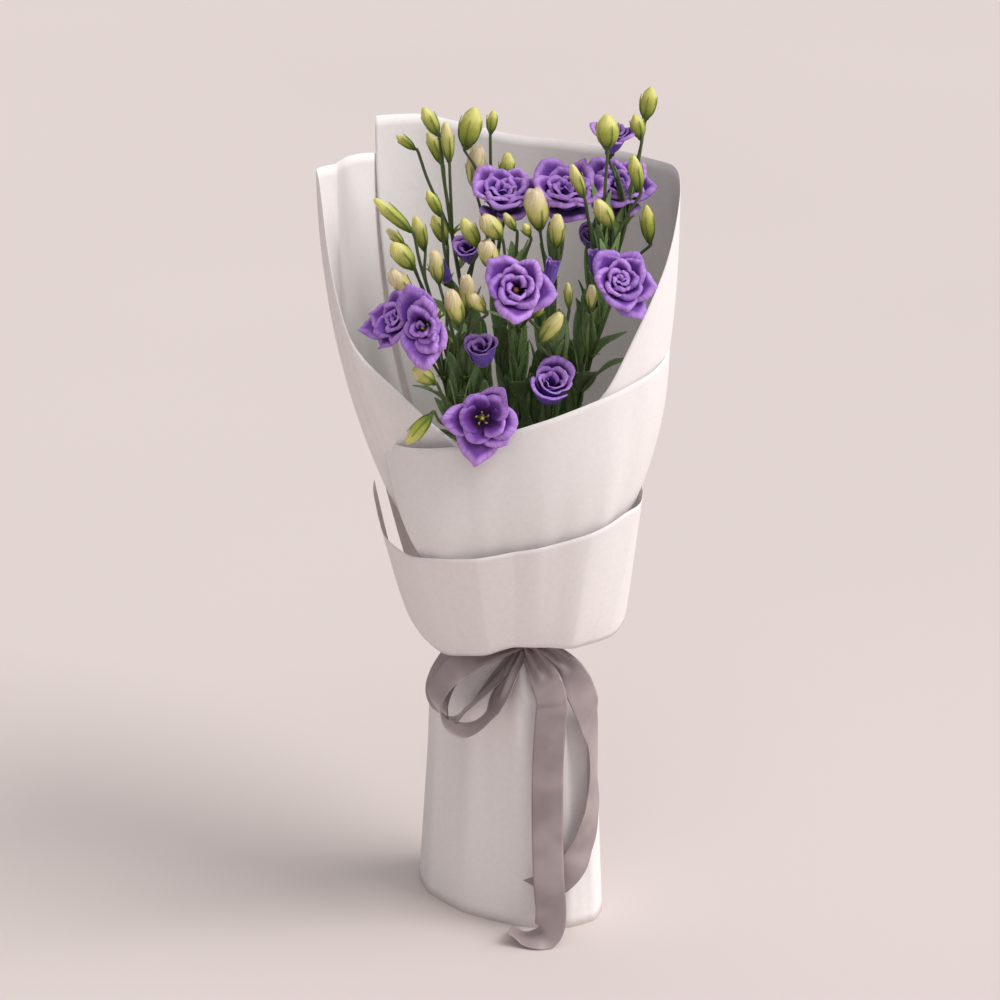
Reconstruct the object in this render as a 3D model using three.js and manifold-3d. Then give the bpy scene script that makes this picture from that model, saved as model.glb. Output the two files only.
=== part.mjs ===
import * as THREE from 'three'
import { mergeVertices } from 'three/addons/utils/BufferGeometryUtils.js'
import Module from 'manifold-3d'

const wasm = await Module()
wasm.setup()

// A hand-tied bouquet of double lisianthus, wrapped in white paper and tied with a
// satin ribbon. It stands upright on its cut stem ends and the rim of the paper skirt.
// Millimetres, +Z up, the bow towards -Y. The layout is drawn round the tie's own axis
// and moved at the end, so that the origin is under the middle of the whole bouquet.

const ORIGIN = { x: -8.2, y: 8.4 }
const TIE = { x: 8, y: 0, bottom: 228, middle: 244, top: 260 }

// Stems and heads
const STEM = { radius: 2.2, forkRadius: 1.6, sides: 5 }
const STALK = { radius: 1.2, sides: 5, steps: 3 }
const BUNDLE = { innerCount: 3, innerRadius: 2.55, outerRadius: 7.2, spread: 3, twist: 70 }
const FORK = { reach: 0.72, drop: 78, branchDrop: 44 }
const ROUTE = { step: 30, clearance: 1.4, rounds: 160, smooth: 0.1 }
const BLADE = 0.7
const SEAT_GAP = 0.3
const PETAL = { root: 3, thick: 0.9, tuck: 1.1 }
const HEART = { radius: 3.4 }
const VALLEY = { out: 0.66, rise: 0.8 }

// Each head is listed by the spray that carries it. A bud is the foot of its calyx, its
// tip and its width; a bloom is the middle of its mouth, where it faces, its radius, its
// depth and its form. A leaf is its height on the stem, its bearing, length and width.
const SPRAYS = {
  front: {
    fork: [-28, -66, 452],
    buds: [
      { foot: [-58, -86, 488], tip: [-74, -88, 500], width: 12 },
      { foot: [-60, -103, 468], tip: [-79, -107, 446], width: 11 },
    ],
    blooms: [
      {
        name: 'front', at: [-21, -104, 466],
        face: [0.05, -0.9, 0.3], radius: 27, depth: 20, form: 'open',
      },
    ],
    leaves: [{ z: 408, bearing: 200, length: 50, width: 17 }],
  },
  left_front: {
    buds: [{ foot: [-76, -50, 546], tip: [-91, -52, 566], width: 13 }],
    blooms: [
      {
        name: 'left_tall', at: [-67, -92, 534],
        face: [-0.25, -0.85, 0.35], radius: 27, depth: 20, form: 'open',
      },
      {
        name: 'left_far', at: [-87, -63, 531],
        face: [-0.7, -0.5, 0.5], radius: 15, depth: 18, form: 'cup',
      },
    ],
    leaves: [
      { z: 440, bearing: 215, length: 52, width: 17 },
      { z: 415, bearing: 130, length: 48, width: 15 },
    ],
  },
  left: {
    buds: [
      { foot: [-74, -46, 566], tip: [-90, -48, 586], width: 15 },
      { foot: [-82, -22, 577], tip: [-94, -22, 589], width: 7 },
      { foot: [-76, -30, 590], tip: [-104, -30, 616], width: 10 },
      { foot: [-66, -12, 570], tip: [-73, -14, 597], width: 11 },
    ],
    blooms: [
      {
        name: 'left_small', at: [-53, -20, 556],
        face: [-0.3, -0.5, 0.8], radius: 10, depth: 20, form: 'tight',
      },
    ],
    leaves: [{ z: 450, bearing: 170, length: 46, width: 15 }],
  },
  left_mid: {
    buds: [
      { foot: [-38, -81, 534], tip: [-46, -84, 561], width: 14 },
      { foot: [-31, -60, 538], tip: [-34, -62, 566], width: 12 },
      { foot: [-20, -86, 545], tip: [-30, -88, 559], width: 10 },
      { foot: [-54, -50, 556], tip: [-58, -52, 582], width: 11 },
    ],
    blooms: [
      {
        name: 'low_mid', at: [-23, -74, 512],
        face: [-0.1, -0.45, 0.85], radius: 15, depth: 25, form: 'cup',
      },
    ],
    leaves: [{ z: 425, bearing: 250, length: 44, width: 14 }],
  },
  left_back: {
    buds: [
      { foot: [-54, 4, 592], tip: [-64, 4, 612], width: 9 },
      { foot: [-50, 10, 568], tip: [-60, 10, 590], width: 11 },
      { foot: [-25, -36, 580], tip: [-37, -36, 602], width: 12 },
    ],
    blooms: [
      {
        name: 'back_left', at: [-34, 0, 567],
        face: [-0.2, -0.6, 0.75], radius: 13, depth: 22, form: 'cup',
      },
    ],
    leaves: [
      { z: 470, bearing: 150, length: 48, width: 16 },
      { z: 430, bearing: 230, length: 44, width: 15 },
    ],
  },
  top_left: {
    buds: [
      { foot: [-74, 26, 638], tip: [-88, 26, 649], width: 7 },
      { foot: [-56, 18, 652], tip: [-67, 18, 673], width: 11 },
      { foot: [-53, 32, 625], tip: [-64, 32, 650], width: 9 },
      { foot: [-47, 18, 631], tip: [-50, 18, 662], width: 10 },
    ],
    blooms: [],
    leaves: [
      { z: 500, bearing: 160, length: 46, width: 13 },
      { z: 540, bearing: 40, length: 30, width: 8 },
    ],
  },
  top: {
    buds: [
      { foot: [-34, 32, 638], tip: [-27, 32, 670], width: 18 },
      { foot: [-15, 40, 647], tip: [-13, 40, 665], width: 8 },
      { foot: [-26, 44, 600], tip: [-26, 44, 636], width: 16 },
      { foot: [-3, 52, 604], tip: [-2, 52, 628], width: 12 },
    ],
    blooms: [
      { name: 'top_left', at: [-5, 14, 603], face: [0, -0.35, 0.95], radius: 20, depth: 22, form: 'rose' },
    ],
    leaves: [{ z: 500, bearing: 90, length: 50, width: 15 }],
  },
  centre: {
    buds: [
      { foot: [-8, -42, 588], tip: [-22, -42, 606], width: 15 },
      { foot: [3, -30, 591], tip: [-5, -30, 604], width: 7 },
      { foot: [-14, -46, 566], tip: [-20, -46, 588], width: 15 },
      { foot: [14, -36, 588], tip: [10, -38, 598], width: 7 },
    ],
    blooms: [
      { name: 'centre', at: [4, -86, 562], face: [0.05, -0.8, 0.55], radius: 26, depth: 20, form: 'rose' },
      {
        name: 'centre_small', at: [31, -56, 571],
        face: [0.2, -0.2, 0.95], radius: 9, depth: 24, form: 'tight',
      },
    ],
    leaves: [
      { z: 450, bearing: 275, length: 50, width: 17 },
      { z: 480, bearing: 200, length: 40, width: 12 },
    ],
  },
  centre_back: {
    buds: [
      { foot: [22, -24, 590], tip: [17, -24, 622], width: 18 },
      { foot: [35, -38, 580], tip: [35, -38, 606], width: 12 },
    ],
    blooms: [
      { name: 'top_mid', at: [42, 0, 612], face: [0.05, -0.45, 0.9], radius: 20, depth: 26, form: 'rose' },
    ],
    leaves: [
      { z: 470, bearing: 300, length: 52, width: 17 },
      { z: 440, bearing: 60, length: 46, width: 15 },
    ],
  },
  low: {
    buds: [
      { foot: [23, -80, 519], tip: [38, -84, 543], width: 13 },
      { foot: [17, -72, 536], tip: [25, -70, 545], width: 7 },
      { foot: [44, -50, 536], tip: [43, -50, 556], width: 6 },
    ],
    blooms: [
      {
        name: 'low_right', at: [31, -70, 481],
        face: [0.15, -0.55, 0.8], radius: 17, depth: 26, form: 'cup',
      },
    ],
    leaves: [
      { z: 395, bearing: 330, length: 58, width: 20 },
      { z: 410, bearing: 290, length: 44, width: 16 },
    ],
  },
  right: {
    buds: [
      { foot: [61, -54, 536], tip: [61, -54, 555], width: 8 },
      { foot: [76, -32, 594], tip: [64, -34, 616], width: 13 },
    ],
    blooms: [
      { name: 'right', at: [82, -72, 563], face: [0.15, -0.75, 0.6], radius: 23, depth: 20, form: 'rose' },
      {
        name: 'right_upper', at: [64, -36, 570],
        face: [-0.1, -0.3, 0.95], radius: 10, depth: 24, form: 'tight',
      },
    ],
    leaves: [
      { z: 430, bearing: 340, length: 60, width: 20 },
      { z: 455, bearing: 280, length: 54, width: 19 },
    ],
  },
  right_back: {
    fork: [72, -10, 500],
    buds: [
      { foot: [73, -18, 652], tip: [72, -18, 678], width: 18 },
      { foot: [55, -26, 616], tip: [45, -28, 642], width: 9 },
      { foot: [98, -6, 615], tip: [92, -6, 643], width: 11 },
    ],
    blooms: [
      { name: 'top_low', at: [62, -2, 578], face: [0.1, -0.7, 0.7], radius: 12, depth: 20, form: 'cup' },
    ],
    leaves: [{ z: 470, bearing: 10, length: 48, width: 16 }],
  },
  far_right: {
    buds: [
      { foot: [99, 14, 650], tip: [94, 14, 669], width: 11 },
      { foot: [103, 20, 664], tip: [107, 20, 689], width: 13 },
      { foot: [106, -12, 576], tip: [103, -14, 606], width: 11 },
    ],
    blooms: [
      { name: 'top_pale', at: [78, 14, 655], face: [0.1, -0.3, 0.95], radius: 13, depth: 24, form: 'cup' },
      {
        name: 'top_right', at: [82, 26, 606],
        face: [0.1, -0.5, 0.85], radius: 20, depth: 24, form: 'rose',
      },
    ],
    leaves: [
      { z: 480, bearing: 60, length: 50, width: 16 },
      { z: 520, bearing: 350, length: 36, width: 10 },
    ],
  },
}

// Whorls of petals from the outside in: how many, their share of the bloom's radius and
// depth, how far their tips roll out, the shares of their length where their rings lie,
// and the share at which their inner face ends. The furled petals in the middle are the
// core.
const FORMS = {
  open: {
    around: 20,
    whorls: [
      { count: 5, radius: 1, depth: 0.8, flare: 0.34, rings: [0.2, 0.5, 0.8, 1], inner: 0.5 },
      { count: 4, radius: 0.56, depth: 1, flare: 0.18, rings: [0.5, 1], inner: 0.5 },
    ],
    floor: 0.32,
  },
  rose: {
    around: 20,
    whorls: [
      { count: 5, radius: 1, depth: 0.8, flare: 0.3, rings: [0.2, 0.5, 0.8, 1], inner: 0.5 },
      { count: 4, radius: 0.62, depth: 1, flare: 0.14, rings: [0.5, 1], inner: 0.5 },
    ],
    core: { radius: 0.24, low: 0.5, high: 0.95 },
  },
  cup: {
    around: 12,
    whorls: [
      { count: 4, radius: 1, depth: 0.94, flare: 0.1, rings: [0.2, 0.6, 1], inner: 0.6 },
      { count: 3, radius: 0.58, depth: 1.08, flare: 0.04, rings: [0.6, 1], inner: 0.6 },
    ],
    floor: 0.72,
  },
  tight: {
    around: 12,
    whorls: [{ count: 3, radius: 1, depth: 0.94, flare: 0.06, rings: [0.2, 0.6, 1], inner: 0.6 }],
    core: { radius: 0.4, low: 0.6, high: 1 },
  },
}

// Paper: a sheet is a row of places round the tie, each its bearing, how far out and how
// high its upper edge stands there, and how soon it swells out above the tie (a higher
// number is sooner). lean is how far its foot is turned from its upper edge.
const PAPER = 0.8
const SHEETS = {
  paper_back: {
    neck: 10.3, swell: 0.85, rows: 6,
    edge: [
      { bearing: 139.5, out: 150, z: 644, bulge: 2.2 },
      { bearing: 125, out: 143, z: 640, bulge: 2.2 },
      { bearing: 88, out: 127, z: 619, bulge: 2.2 },
      { bearing: 44, out: 130, z: 614, bulge: 2.2 },
      { bearing: 9.5, out: 122, z: 623, bulge: 1.9 },
      { bearing: -5, out: 121, z: 612, bulge: 1.9 },
      { bearing: -20, out: 115, z: 562, bulge: 1.9 },
      { bearing: -34, out: 108, z: 525, bulge: 1.9 },
      { bearing: -51, out: 100, z: 476, bulge: 1.9 },
      { bearing: -64, out: 91, z: 452, bulge: 1.9 },
    ],
  },
  paper_left: {
    neck: 11.5, swell: 0.85, rows: 6,
    edge: [
      { bearing: 131, out: 157, z: 598, bulge: 2.2 },
      { bearing: 138, out: 156, z: 612, bulge: 2.2 },
      { bearing: 157.5, out: 146, z: 624, bulge: 2.3 },
      { bearing: 176, out: 149, z: 636, bulge: 2.6 },
      { bearing: 194.6, out: 158, z: 646, bulge: 2 },
      { bearing: 208, out: 150, z: 656, bulge: 1.3 },
      { bearing: 210, out: 146, z: 509, bulge: 1 },
      { bearing: 219, out: 113, z: 470, bulge: 1.3 },
      { bearing: 237, out: 94, z: 437, bulge: 1.6 },
      { bearing: 246, out: 89, z: 420, bulge: 1.6 },
    ],
  },
  paper_collar: {
    neck: 12.7, swell: 0.85, rows: 6,
    edge: [
      { bearing: 203, out: 116, z: 428, bulge: 2.9, lean: 36 },
      { bearing: 217.6, out: 113.5, z: 430, bulge: 2.9, lean: 24 },
      { bearing: 245, out: 99.5, z: 439, bulge: 2.9, lean: 12 },
      { bearing: 267, out: 95, z: 453, bulge: 2.9 },
      { bearing: 287.5, out: 97, z: 464, bulge: 2.9 },
      { bearing: 309, out: 104, z: 475, bulge: 2.9 },
      { bearing: 321, out: 104, z: 464, bulge: 2.9 },
    ],
  },
}

// The cuff is a strip of paper round the collar, open below like a bell: its bearing, and
// how far out and how high its lower and upper edges stand.
const CUFF = [
  { bearing: 176, low: [92, 272], high: [116, 372] },
  { bearing: 188, low: [90, 266], high: [116, 366] },
  { bearing: 200, low: [86, 258], high: [113, 344] },
  { bearing: 217.6, low: [75, 246], high: [109.5, 340] },
  { bearing: 231, low: [70, 248], high: [107, 343] },
  { bearing: 245, low: [67, 252], high: [99, 346] },
  { bearing: 267, low: [65, 260], high: [92, 352] },
  { bearing: 287.5, low: [66, 259], high: [93, 358] },
  { bearing: 309, low: [71, 256], high: [98.5, 366] },
  { bearing: 330, low: [78, 256], high: [101, 372] },
  { bearing: 360, low: [83, 257], high: [97, 375] },
  { bearing: 400, low: [80, 260], high: [94, 372] },
  { bearing: 450, low: [76, 262], high: [93, 368] },
  { bearing: 500, low: [84, 264], high: [112, 366] },
  { bearing: 524, low: [84, 268], high: [114, 366] },
]
const CUFF_ROWS = 2

// The skirt is a flattened tube, gathered at the tie: each height, the middle of the
// tube there, its half length and half width, and how deep its pleats are.
const SKIRT = {
  turn: -33, around: 21, pleats: 7,
  levels: [
    { z: 0, x: 0, y: 15, long: 87, short: 50, pleat: 0 },
    { z: 176, x: 2, y: 8, long: 72, short: 47, pleat: 0 },
    { z: 198, x: 3, y: 7, long: 64, short: 43, pleat: 1.2 },
    { z: 214, x: 5, y: 4, long: 44, short: 33, pleat: 2.4 },
    { z: 227, x: 8, y: 0, long: 20, short: 19, pleat: 1.6 },
    { z: 233, x: 8, y: 0, long: 14.3, short: 14.3, pleat: 0 },
    { z: 256, x: 8, y: 0, long: 14.3, short: 14.3, pleat: 0 },
  ],
}

// Ribbon: 25 mm satin, 1.2 mm thick here. Each run is a list of places on its middle
// line, with the way its width points there.
const RIBBON = { width: 25, thick: 1.2, band: 14.7, bandHeight: 19, pinch: 0.35 }
const RUNS = {
  loopFront: [
    { at: [8, -25, 244], wide: [0, -0.6, -0.8] },
    { at: [-8, -38, 247], wide: [0.1, -0.7, -0.7] },
    { at: [-27, -50, 246], wide: [0.2, -0.75, -0.6] },
    { at: [-48, -57, 233], wide: [0.3, -0.8, -0.4] },
    { at: [-59, -59, 214], wide: [0.1, -0.95, 0] },
    { at: [-53, -59, 195], wide: [0, -0.95, 0.3] },
    { at: [-38, -58, 185], wide: [0, -0.95, 0.35] },
    { at: [-22, -56, 191], wide: [0.1, -0.95, 0.3] },
    { at: [-9, -50, 209], wide: [0.35, -0.9, 0.2] },
    { at: [1, -40, 227], wide: [0.5, -0.8, 0.1] },
    { at: [10, -26, 238], wide: [0.5, -0.8, 0] },
  ],
  loopBack: [
    { at: [4, -24, 245], wide: [0, -0.4, -0.9] },
    { at: [-18, -30, 246], wide: [0.1, -0.5, -0.8] },
    { at: [-44, -36, 237], wide: [0.6, -0.4, -0.7] },
    { at: [-62, -38, 214], wide: [0.8, -0.5, -0.2] },
    { at: [-62, -40, 196], wide: [0.6, -0.8, 0.2] },
    { at: [-48, -42, 186], wide: [0, -1, 0.2] },
    { at: [-26, -41, 204], wide: [0, -1, 0.2] },
    { at: [-7, -33, 223], wide: [0.3, -0.9, 0] },
    { at: [5, -25, 236], wide: [0.5, -0.8, 0] },
  ],
  tail: [
    { at: [12, -24, 243], wide: [-0.6, -0.3, -0.6] },
    { at: [18, -35, 238], wide: [-0.8, -0.2, -0.5] },
    { at: [28, -50, 224], wide: [-0.95, 0, -0.3] },
    { at: [33, -56, 208], wide: [-1, 0, 0] },
    { at: [32, -57, 190], wide: [-1, 0, 0] },
    { at: [30, -58, 150], wide: [-1, 0, 0] },
    { at: [30, -62, 100], wide: [-1, 0, 0] },
    { at: [31, -70, 60], wide: [-1, 0.05, 0] },
    { at: [33, -76, 32], wide: [-1, 0.1, 0] },
    { at: [31, -76, 14.5], wide: [-0.95, 0.35, 0] },
    { at: [24, -73, 6.6], wide: [-0.55, 0.85, 0] },
    { at: [12, -69, 4], wide: [-0.3, 0.95, 0] },
    { at: [0, -65, 9], wide: [-0.2, 0.95, 0] },
  ],
  trail: [
    { at: [14, -24, 243], wide: [0, -0.3, -1] },
    { at: [30, -36, 242], wide: [-0.3, -0.3, -0.9] },
    { at: [47, -44, 228], wide: [-0.7, -0.2, -0.7] },
    { at: [59, -47, 204], wide: [-0.95, -0.1, -0.3] },
    { at: [66, -47, 170], wide: [-0.95, -0.25, -0.1] },
    { at: [68, -48, 130], wide: [-0.8, -0.6, 0] },
    { at: [64, -52, 92], wide: [-0.75, -0.5, 0.4] },
    { at: [53, -55, 64], wide: [-0.6, -0.1, 0.75] },
    { at: [36, -55.5, 46], wide: [-0.4, 0, 0.9] },
    { at: [16, -53, 36], wide: [-0.25, 0, 0.95] },
  ],
}

const UP = new THREE.Vector3(0, 0, 1)
const vec = (list) => new THREE.Vector3(...list)
const mix = THREE.MathUtils.lerp
const rad = THREE.MathUtils.degToRad
const onAxis = (bearing, out, z) =>
  new THREE.Vector3(TIE.x + out * Math.cos(rad(bearing)), TIE.y + out * Math.sin(rad(bearing)), z)

// A closed body from corner points and triangles, turned so that its faces point out.
function body(points, triangles) {
  const positions = new Float32Array(points.flatMap((p) => [p.x, p.y, p.z]))
  let geometry = new THREE.BufferGeometry()
  geometry.setAttribute('position', new THREE.BufferAttribute(positions, 3))
  geometry.setIndex(triangles)
  geometry = mergeVertices(geometry, 1e-4)
  const vertProperties = geometry.attributes.position.array
  const triVerts = new Uint32Array(geometry.index.array)
  const corner = (index) => new THREE.Vector3().fromArray(vertProperties, 3 * index)
  let volume = 0
  for (let i = 0; i < triVerts.length; i += 3) {
    const side = corner(triVerts[i + 1]).cross(corner(triVerts[i + 2]))
    volume += corner(triVerts[i]).dot(side)
  }
  if (volume < 0) triVerts.reverse()
  return new wasm.Manifold(new wasm.Mesh({ numProp: 3, vertProperties, triVerts }))
}

// Rings of points with a flat lid on the first and the last one.
function skin(rings) {
  const around = rings[0].length
  const points = rings.flat()
  const triangles = []
  for (let r = 0; r + 1 < rings.length; r++) {
    for (let i = 0; i < around; i++) {
      const a = r * around + i
      const b = r * around + ((i + 1) % around)
      triangles.push(a, b, b + around, a, b + around, a + around)
    }
  }
  const last = (rings.length - 1) * around
  for (let i = 1; i + 1 < around; i++) {
    triangles.push(0, i + 1, i, last, last + i, last + i + 1)
  }
  return body(points, triangles)
}

// A sheet between two grids of points, front and back, split alike on both faces.
function slab(front, back, loop = false) {
  const rows = front.length
  const columns = front[0].length
  const spot = (side, r, c) => side * rows * columns + r * columns + (c % columns)
  const triangles = []
  const quad = (a, b, c, d) => triangles.push(a, b, c, a, c, d)
  const rim = (a, b) => quad(spot(0, ...a), spot(0, ...b), spot(1, ...b), spot(1, ...a))
  const cells = loop ? columns : columns - 1
  for (let r = 0; r + 1 < rows; r++) {
    for (let c = 0; c < cells; c++) {
      const [a, b, d, e] = [[r, c], [r, c + 1], [r + 1, c + 1], [r + 1, c]]
      quad(spot(0, ...a), spot(0, ...b), spot(0, ...d), spot(0, ...e))
      quad(spot(1, ...d), spot(1, ...b), spot(1, ...a), spot(1, ...e))
    }
  }
  for (let c = 0; c < cells; c++) {
    rim([0, c + 1], [0, c])
    rim([rows - 1, c], [rows - 1, c + 1])
  }
  for (let r = 0; !loop && r + 1 < rows; r++) {
    rim([r, 0], [r + 1, 0])
    rim([r + 1, columns - 1], [r, columns - 1])
  }
  return body([...front.flat(), ...back.flat()], triangles)
}

// How a grid of points faces at one of them, across being its own direction if given.
function facing(grid, r, c, across) {
  const row = grid[r]
  const right = row[Math.min(c + 1, row.length - 1)]
  const sideways = across?.(row[c]) ?? right.clone().sub(row[Math.max(c - 1, 0)])
  const along = grid[Math.min(r + 1, grid.length - 1)][c].clone().sub(grid[Math.max(r - 1, 0)][c])
  return sideways.cross(along).normalize()
}

function thicken(grid, thickness, across) {
  const shifted = (share) => grid.map((row, r) => row.map((point, c) =>
    point.clone().addScaledVector(facing(grid, r, c, across), share * thickness)))
  return slab(shifted(0.5), shifted(-0.5))
}

// A round stem along a path, each ring square to it and turned with it.
function tube(path, radii, sides, flatStart = false) {
  let side = new THREE.Vector3(1, 0, 0)
  const rings = path.map((point, i) => {
    const ahead = path[Math.min(i + 1, path.length - 1)]
    const behind = path[Math.max(i - 1, 0)]
    const along = i === 0 && flatStart ? UP.clone() : ahead.clone().sub(behind).normalize()
    side = side.clone().addScaledVector(along, -side.dot(along)).normalize()
    const other = along.clone().cross(side)
    return Array.from({ length: sides }, (_, k) => {
      const angle = (2 * Math.PI * k) / sides
      return point.clone()
        .addScaledVector(side, radii[i] * Math.cos(angle))
        .addScaledVector(other, radii[i] * Math.sin(angle))
    })
  })
  return skin(rings)
}

// Solids fused into one: a hollow that fusing seals is filled, a loose scrap is dropped.
function join(solids) {
  const shells = wasm.Manifold.union(solids).decompose()
  return shells.reduce((largest, shell) => (shell.volume() > largest.volume() ? shell : largest))
}

// Where the stems run

// The nearest points of two straight stretches, as shares along them.
function nearest(a0, a1, b0, b1) {
  const [u, v, w] = [a1.clone().sub(a0), b1.clone().sub(b0), a0.clone().sub(b0)]
  const [a, b, c, d, e] = [u.dot(u), u.dot(v), v.dot(v), u.dot(w), v.dot(w)]
  const clamp = (value) => Math.min(Math.max(value, 0), 1)
  const bottom = a * c - b * b
  let s = bottom > 1e-9 ? clamp((b * e - c * d) / bottom) : 0
  const t = clamp((b * s + e) / Math.max(c, 1e-9))
  s = clamp((b * t - d) / Math.max(a, 1e-9))
  const gap = w.addScaledVector(u, s).addScaledVector(v, -t)
  return { s, t, gap }
}

function bendTo(from, leave, to, arrive, steps) {
  const reach = from.distanceTo(to) * 0.4
  const curve = new THREE.CubicBezierCurve3(
    from, from.clone().addScaledVector(leave, reach), to.clone().addScaledVector(arrive, -reach), to)
  return curve.getPoints(steps)
}

function headsOf(spray) {
  const buds = spray.buds.map((bud) => {
    const foot = vec(bud.foot)
    return { ...bud, kind: 'bud', foot, along: vec(bud.tip).sub(foot).normalize() }
  })
  const blooms = spray.blooms.map((bloom) => {
    const along = vec(bloom.face).normalize()
    const mouth = vec(bloom.at)
    const foot = mouth.clone().addScaledVector(along, -0.8 * bloom.depth - SEAT_GAP)
    const heart = mouth.clone().addScaledVector(along, -0.4 * bloom.depth)
    return { ...bloom, kind: 'bloom', foot, along, heart }
  })
  return [...buds, ...blooms].sort((a, b) => a.foot.z - b.foot.z)
}

// Each spray's stem rises from its own place in the bundle to a fork under its heads,
// and on to its highest head. The other heads stand on stalks that leave this stem.
function layOut() {
  const sprays = Object.entries(SPRAYS).map(([name, spray]) => {
    const heads = headsOf(spray)
    const middle = heads.reduce((sum, head) => sum.add(head.foot), new THREE.Vector3())
      .divideScalar(heads.length)
    const out = new THREE.Vector3(middle.x - TIE.x, middle.y - TIE.y, 0)
    return { name, heads, leaves: spray.leaves, fork: spray.fork, out, bearing: Math.atan2(out.y, out.x) }
  })
  const inner = [...sprays].sort((a, b) => a.out.length() - b.out.length())
    .slice(0, BUNDLE.innerCount)
  const rings = [
    { members: inner, radius: BUNDLE.innerRadius },
    { members: sprays.filter((spray) => !inner.includes(spray)), radius: BUNDLE.outerRadius },
  ]
  for (const { members, radius } of rings) {
    members.sort((a, b) => a.bearing - b.bearing)
    members.forEach((spray, k) => {
      spray.seat = { angle: members[0].bearing + (2 * Math.PI * k) / members.length, radius }
    })
  }
  const paths = []
  for (const spray of sprays) {
    const { angle, radius } = spray.seat
    const seat = new THREE.Vector3(
      TIE.x + radius * Math.cos(angle), TIE.y + radius * Math.sin(angle), TIE.top)
    const top = spray.heads.at(-1)
    const fork = spray.fork ? vec(spray.fork) : new THREE.Vector3(
      TIE.x + FORK.reach * spray.out.x, TIE.y + FORK.reach * spray.out.y,
      spray.heads[0].foot.z - FORK.drop)
    const lower = bendTo(seat, UP, fork, fork.clone().sub(seat).normalize().lerp(UP, 0.5).normalize(),
      Math.ceil(seat.distanceTo(fork) / ROUTE.step))
    const upper = bendTo(fork, UP, top.foot, top.along,
      Math.ceil(fork.distanceTo(top.foot) / ROUTE.step))
    const stem = { spray, head: top, points: [...lower, ...upper.slice(1)] }
    paths.push(stem)
    spray.stem = stem
    const forkIndex = lower.length - 1
    for (const head of spray.heads.slice(0, -1)) {
      const wanted = head.foot.z - FORK.branchDrop
      let start = forkIndex
      while (start < stem.points.length - 3 && stem.points[start + 1].z < wanted) start++
      const from = stem.points[start]
      const leave = head.foot.clone().sub(from).normalize().lerp(UP, 0.5).normalize()
      const points = bendTo(from, leave, head.foot, head.along, STALK.steps)
      paths.push({ spray, head, parent: stem, start, points })
    }
    spray.forkIndex = forkIndex
  }
  return { sprays, paths }
}

// Stems that lie too near each other, or too near a head, are eased apart.
function untangle({ sprays, paths }) {
  const solids = sprays.flatMap((spray) => spray.heads.map((head) => (head.kind === 'bud'
    ? { head, a: head.foot, b: vec(head.tip), radius: head.width / 2 }
    : { head, a: head.heart, b: head.heart, radius: 1.06 * head.radius + 1 })))
  const radius = STEM.forkRadius
  for (let round = 0; round < ROUTE.rounds; round++) {
    const pushes = paths.map((path) => path.points.map(() => new THREE.Vector3()))
    const push = (p, i, share, move) => {
      pushes[p][i].addScaledVector(move, 1 - share)
      pushes[p][i + 1].addScaledVector(move, share)
    }
    paths.forEach((path, p) => {
      for (let i = 0; i + 1 < path.points.length; i++) {
        const [a0, a1] = [path.points[i], path.points[i + 1]]
        for (let q = p + 1; q < paths.length; q++) {
          const other = paths[q]
          if (other.spray === path.spray) continue
          for (let j = 0; j + 1 < other.points.length; j++) {
            if (Math.abs(a0.z - other.points[j].z) > 40) continue
            const { s, t, gap } = nearest(a0, a1, other.points[j], other.points[j + 1])
            const short = 2 * radius + ROUTE.clearance - gap.length()
            if (short <= 0) continue
            const move = gap.normalize().multiplyScalar(0.5 * short)
            push(p, i, s, move)
            push(q, j, t, move.clone().negate())
          }
        }
        for (const solid of solids) {
          if (solid.head === path.head) continue
          if (solid.head.kind === 'bud' && path.spray.heads.includes(solid.head)) continue
          const { s, gap } = nearest(a0, a1, solid.a, solid.b)
          const short = solid.radius + radius + ROUTE.clearance - gap.length()
          if (short > 0) push(p, i, s, gap.normalize().multiplyScalar(short))
        }
      }
    })
    paths.forEach((path, p) => {
      const old = path.points.map((point) => point.clone())
      for (let i = 1; i + 1 < path.points.length; i++) {
        const even = old[i - 1].clone().add(old[i + 1]).multiplyScalar(0.5)
        path.points[i].add(pushes[p][i]).addScaledVector(even.sub(old[i]), ROUTE.smooth)
      }
    })
    for (const path of paths) {
      if (path.parent) path.points[0].copy(path.parent.points[path.start])
    }
  }
}

// Green solids

// What a stem ends in: a bud, widest past its middle, or the flat-topped cup of the
// calyx that a bloom sits on. Each ring is its distance past the stem's end and radius.
function headRings(head) {
  if (head.kind === 'bloom') return [[-7, STALK.radius], [-3, 2.9], [-0.01, 3.4]]
  const length = vec(head.tip).distanceTo(head.foot)
  return [[-1, 0.3], [0.18 * length, 0.84], [0.56 * length, 1], [length, 0.12]]
    .map(([past, swell]) => [past, 0.5 * head.width * swell])
}

function stemSolid(points, radii, head, sides, flatStart = false) {
  const path = points.slice(0, -1)
  const widths = radii.slice(0, -1)
  for (const [past, radius] of headRings(head)) {
    path.push(head.foot.clone().addScaledVector(head.along, past))
    widths.push(radius)
  }
  return tube(path, widths, sides, flatStart)
}

function leafSolid(root, leaf, bearing) {
  const outward = new THREE.Vector3(Math.cos(rad(bearing)), Math.sin(rad(bearing)), 0)
  const sideways = new THREE.Vector3(-outward.y, outward.x, 0)
  const grid = leafRows(root, leaf, bearing).map(({ point, half, lift }) => [-1, 0, 1].map((side) =>
    point.clone().addScaledVector(sideways, side * half).addScaledVector(UP, Math.abs(side) * lift)))
  return thicken(grid, BLADE)
}

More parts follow.
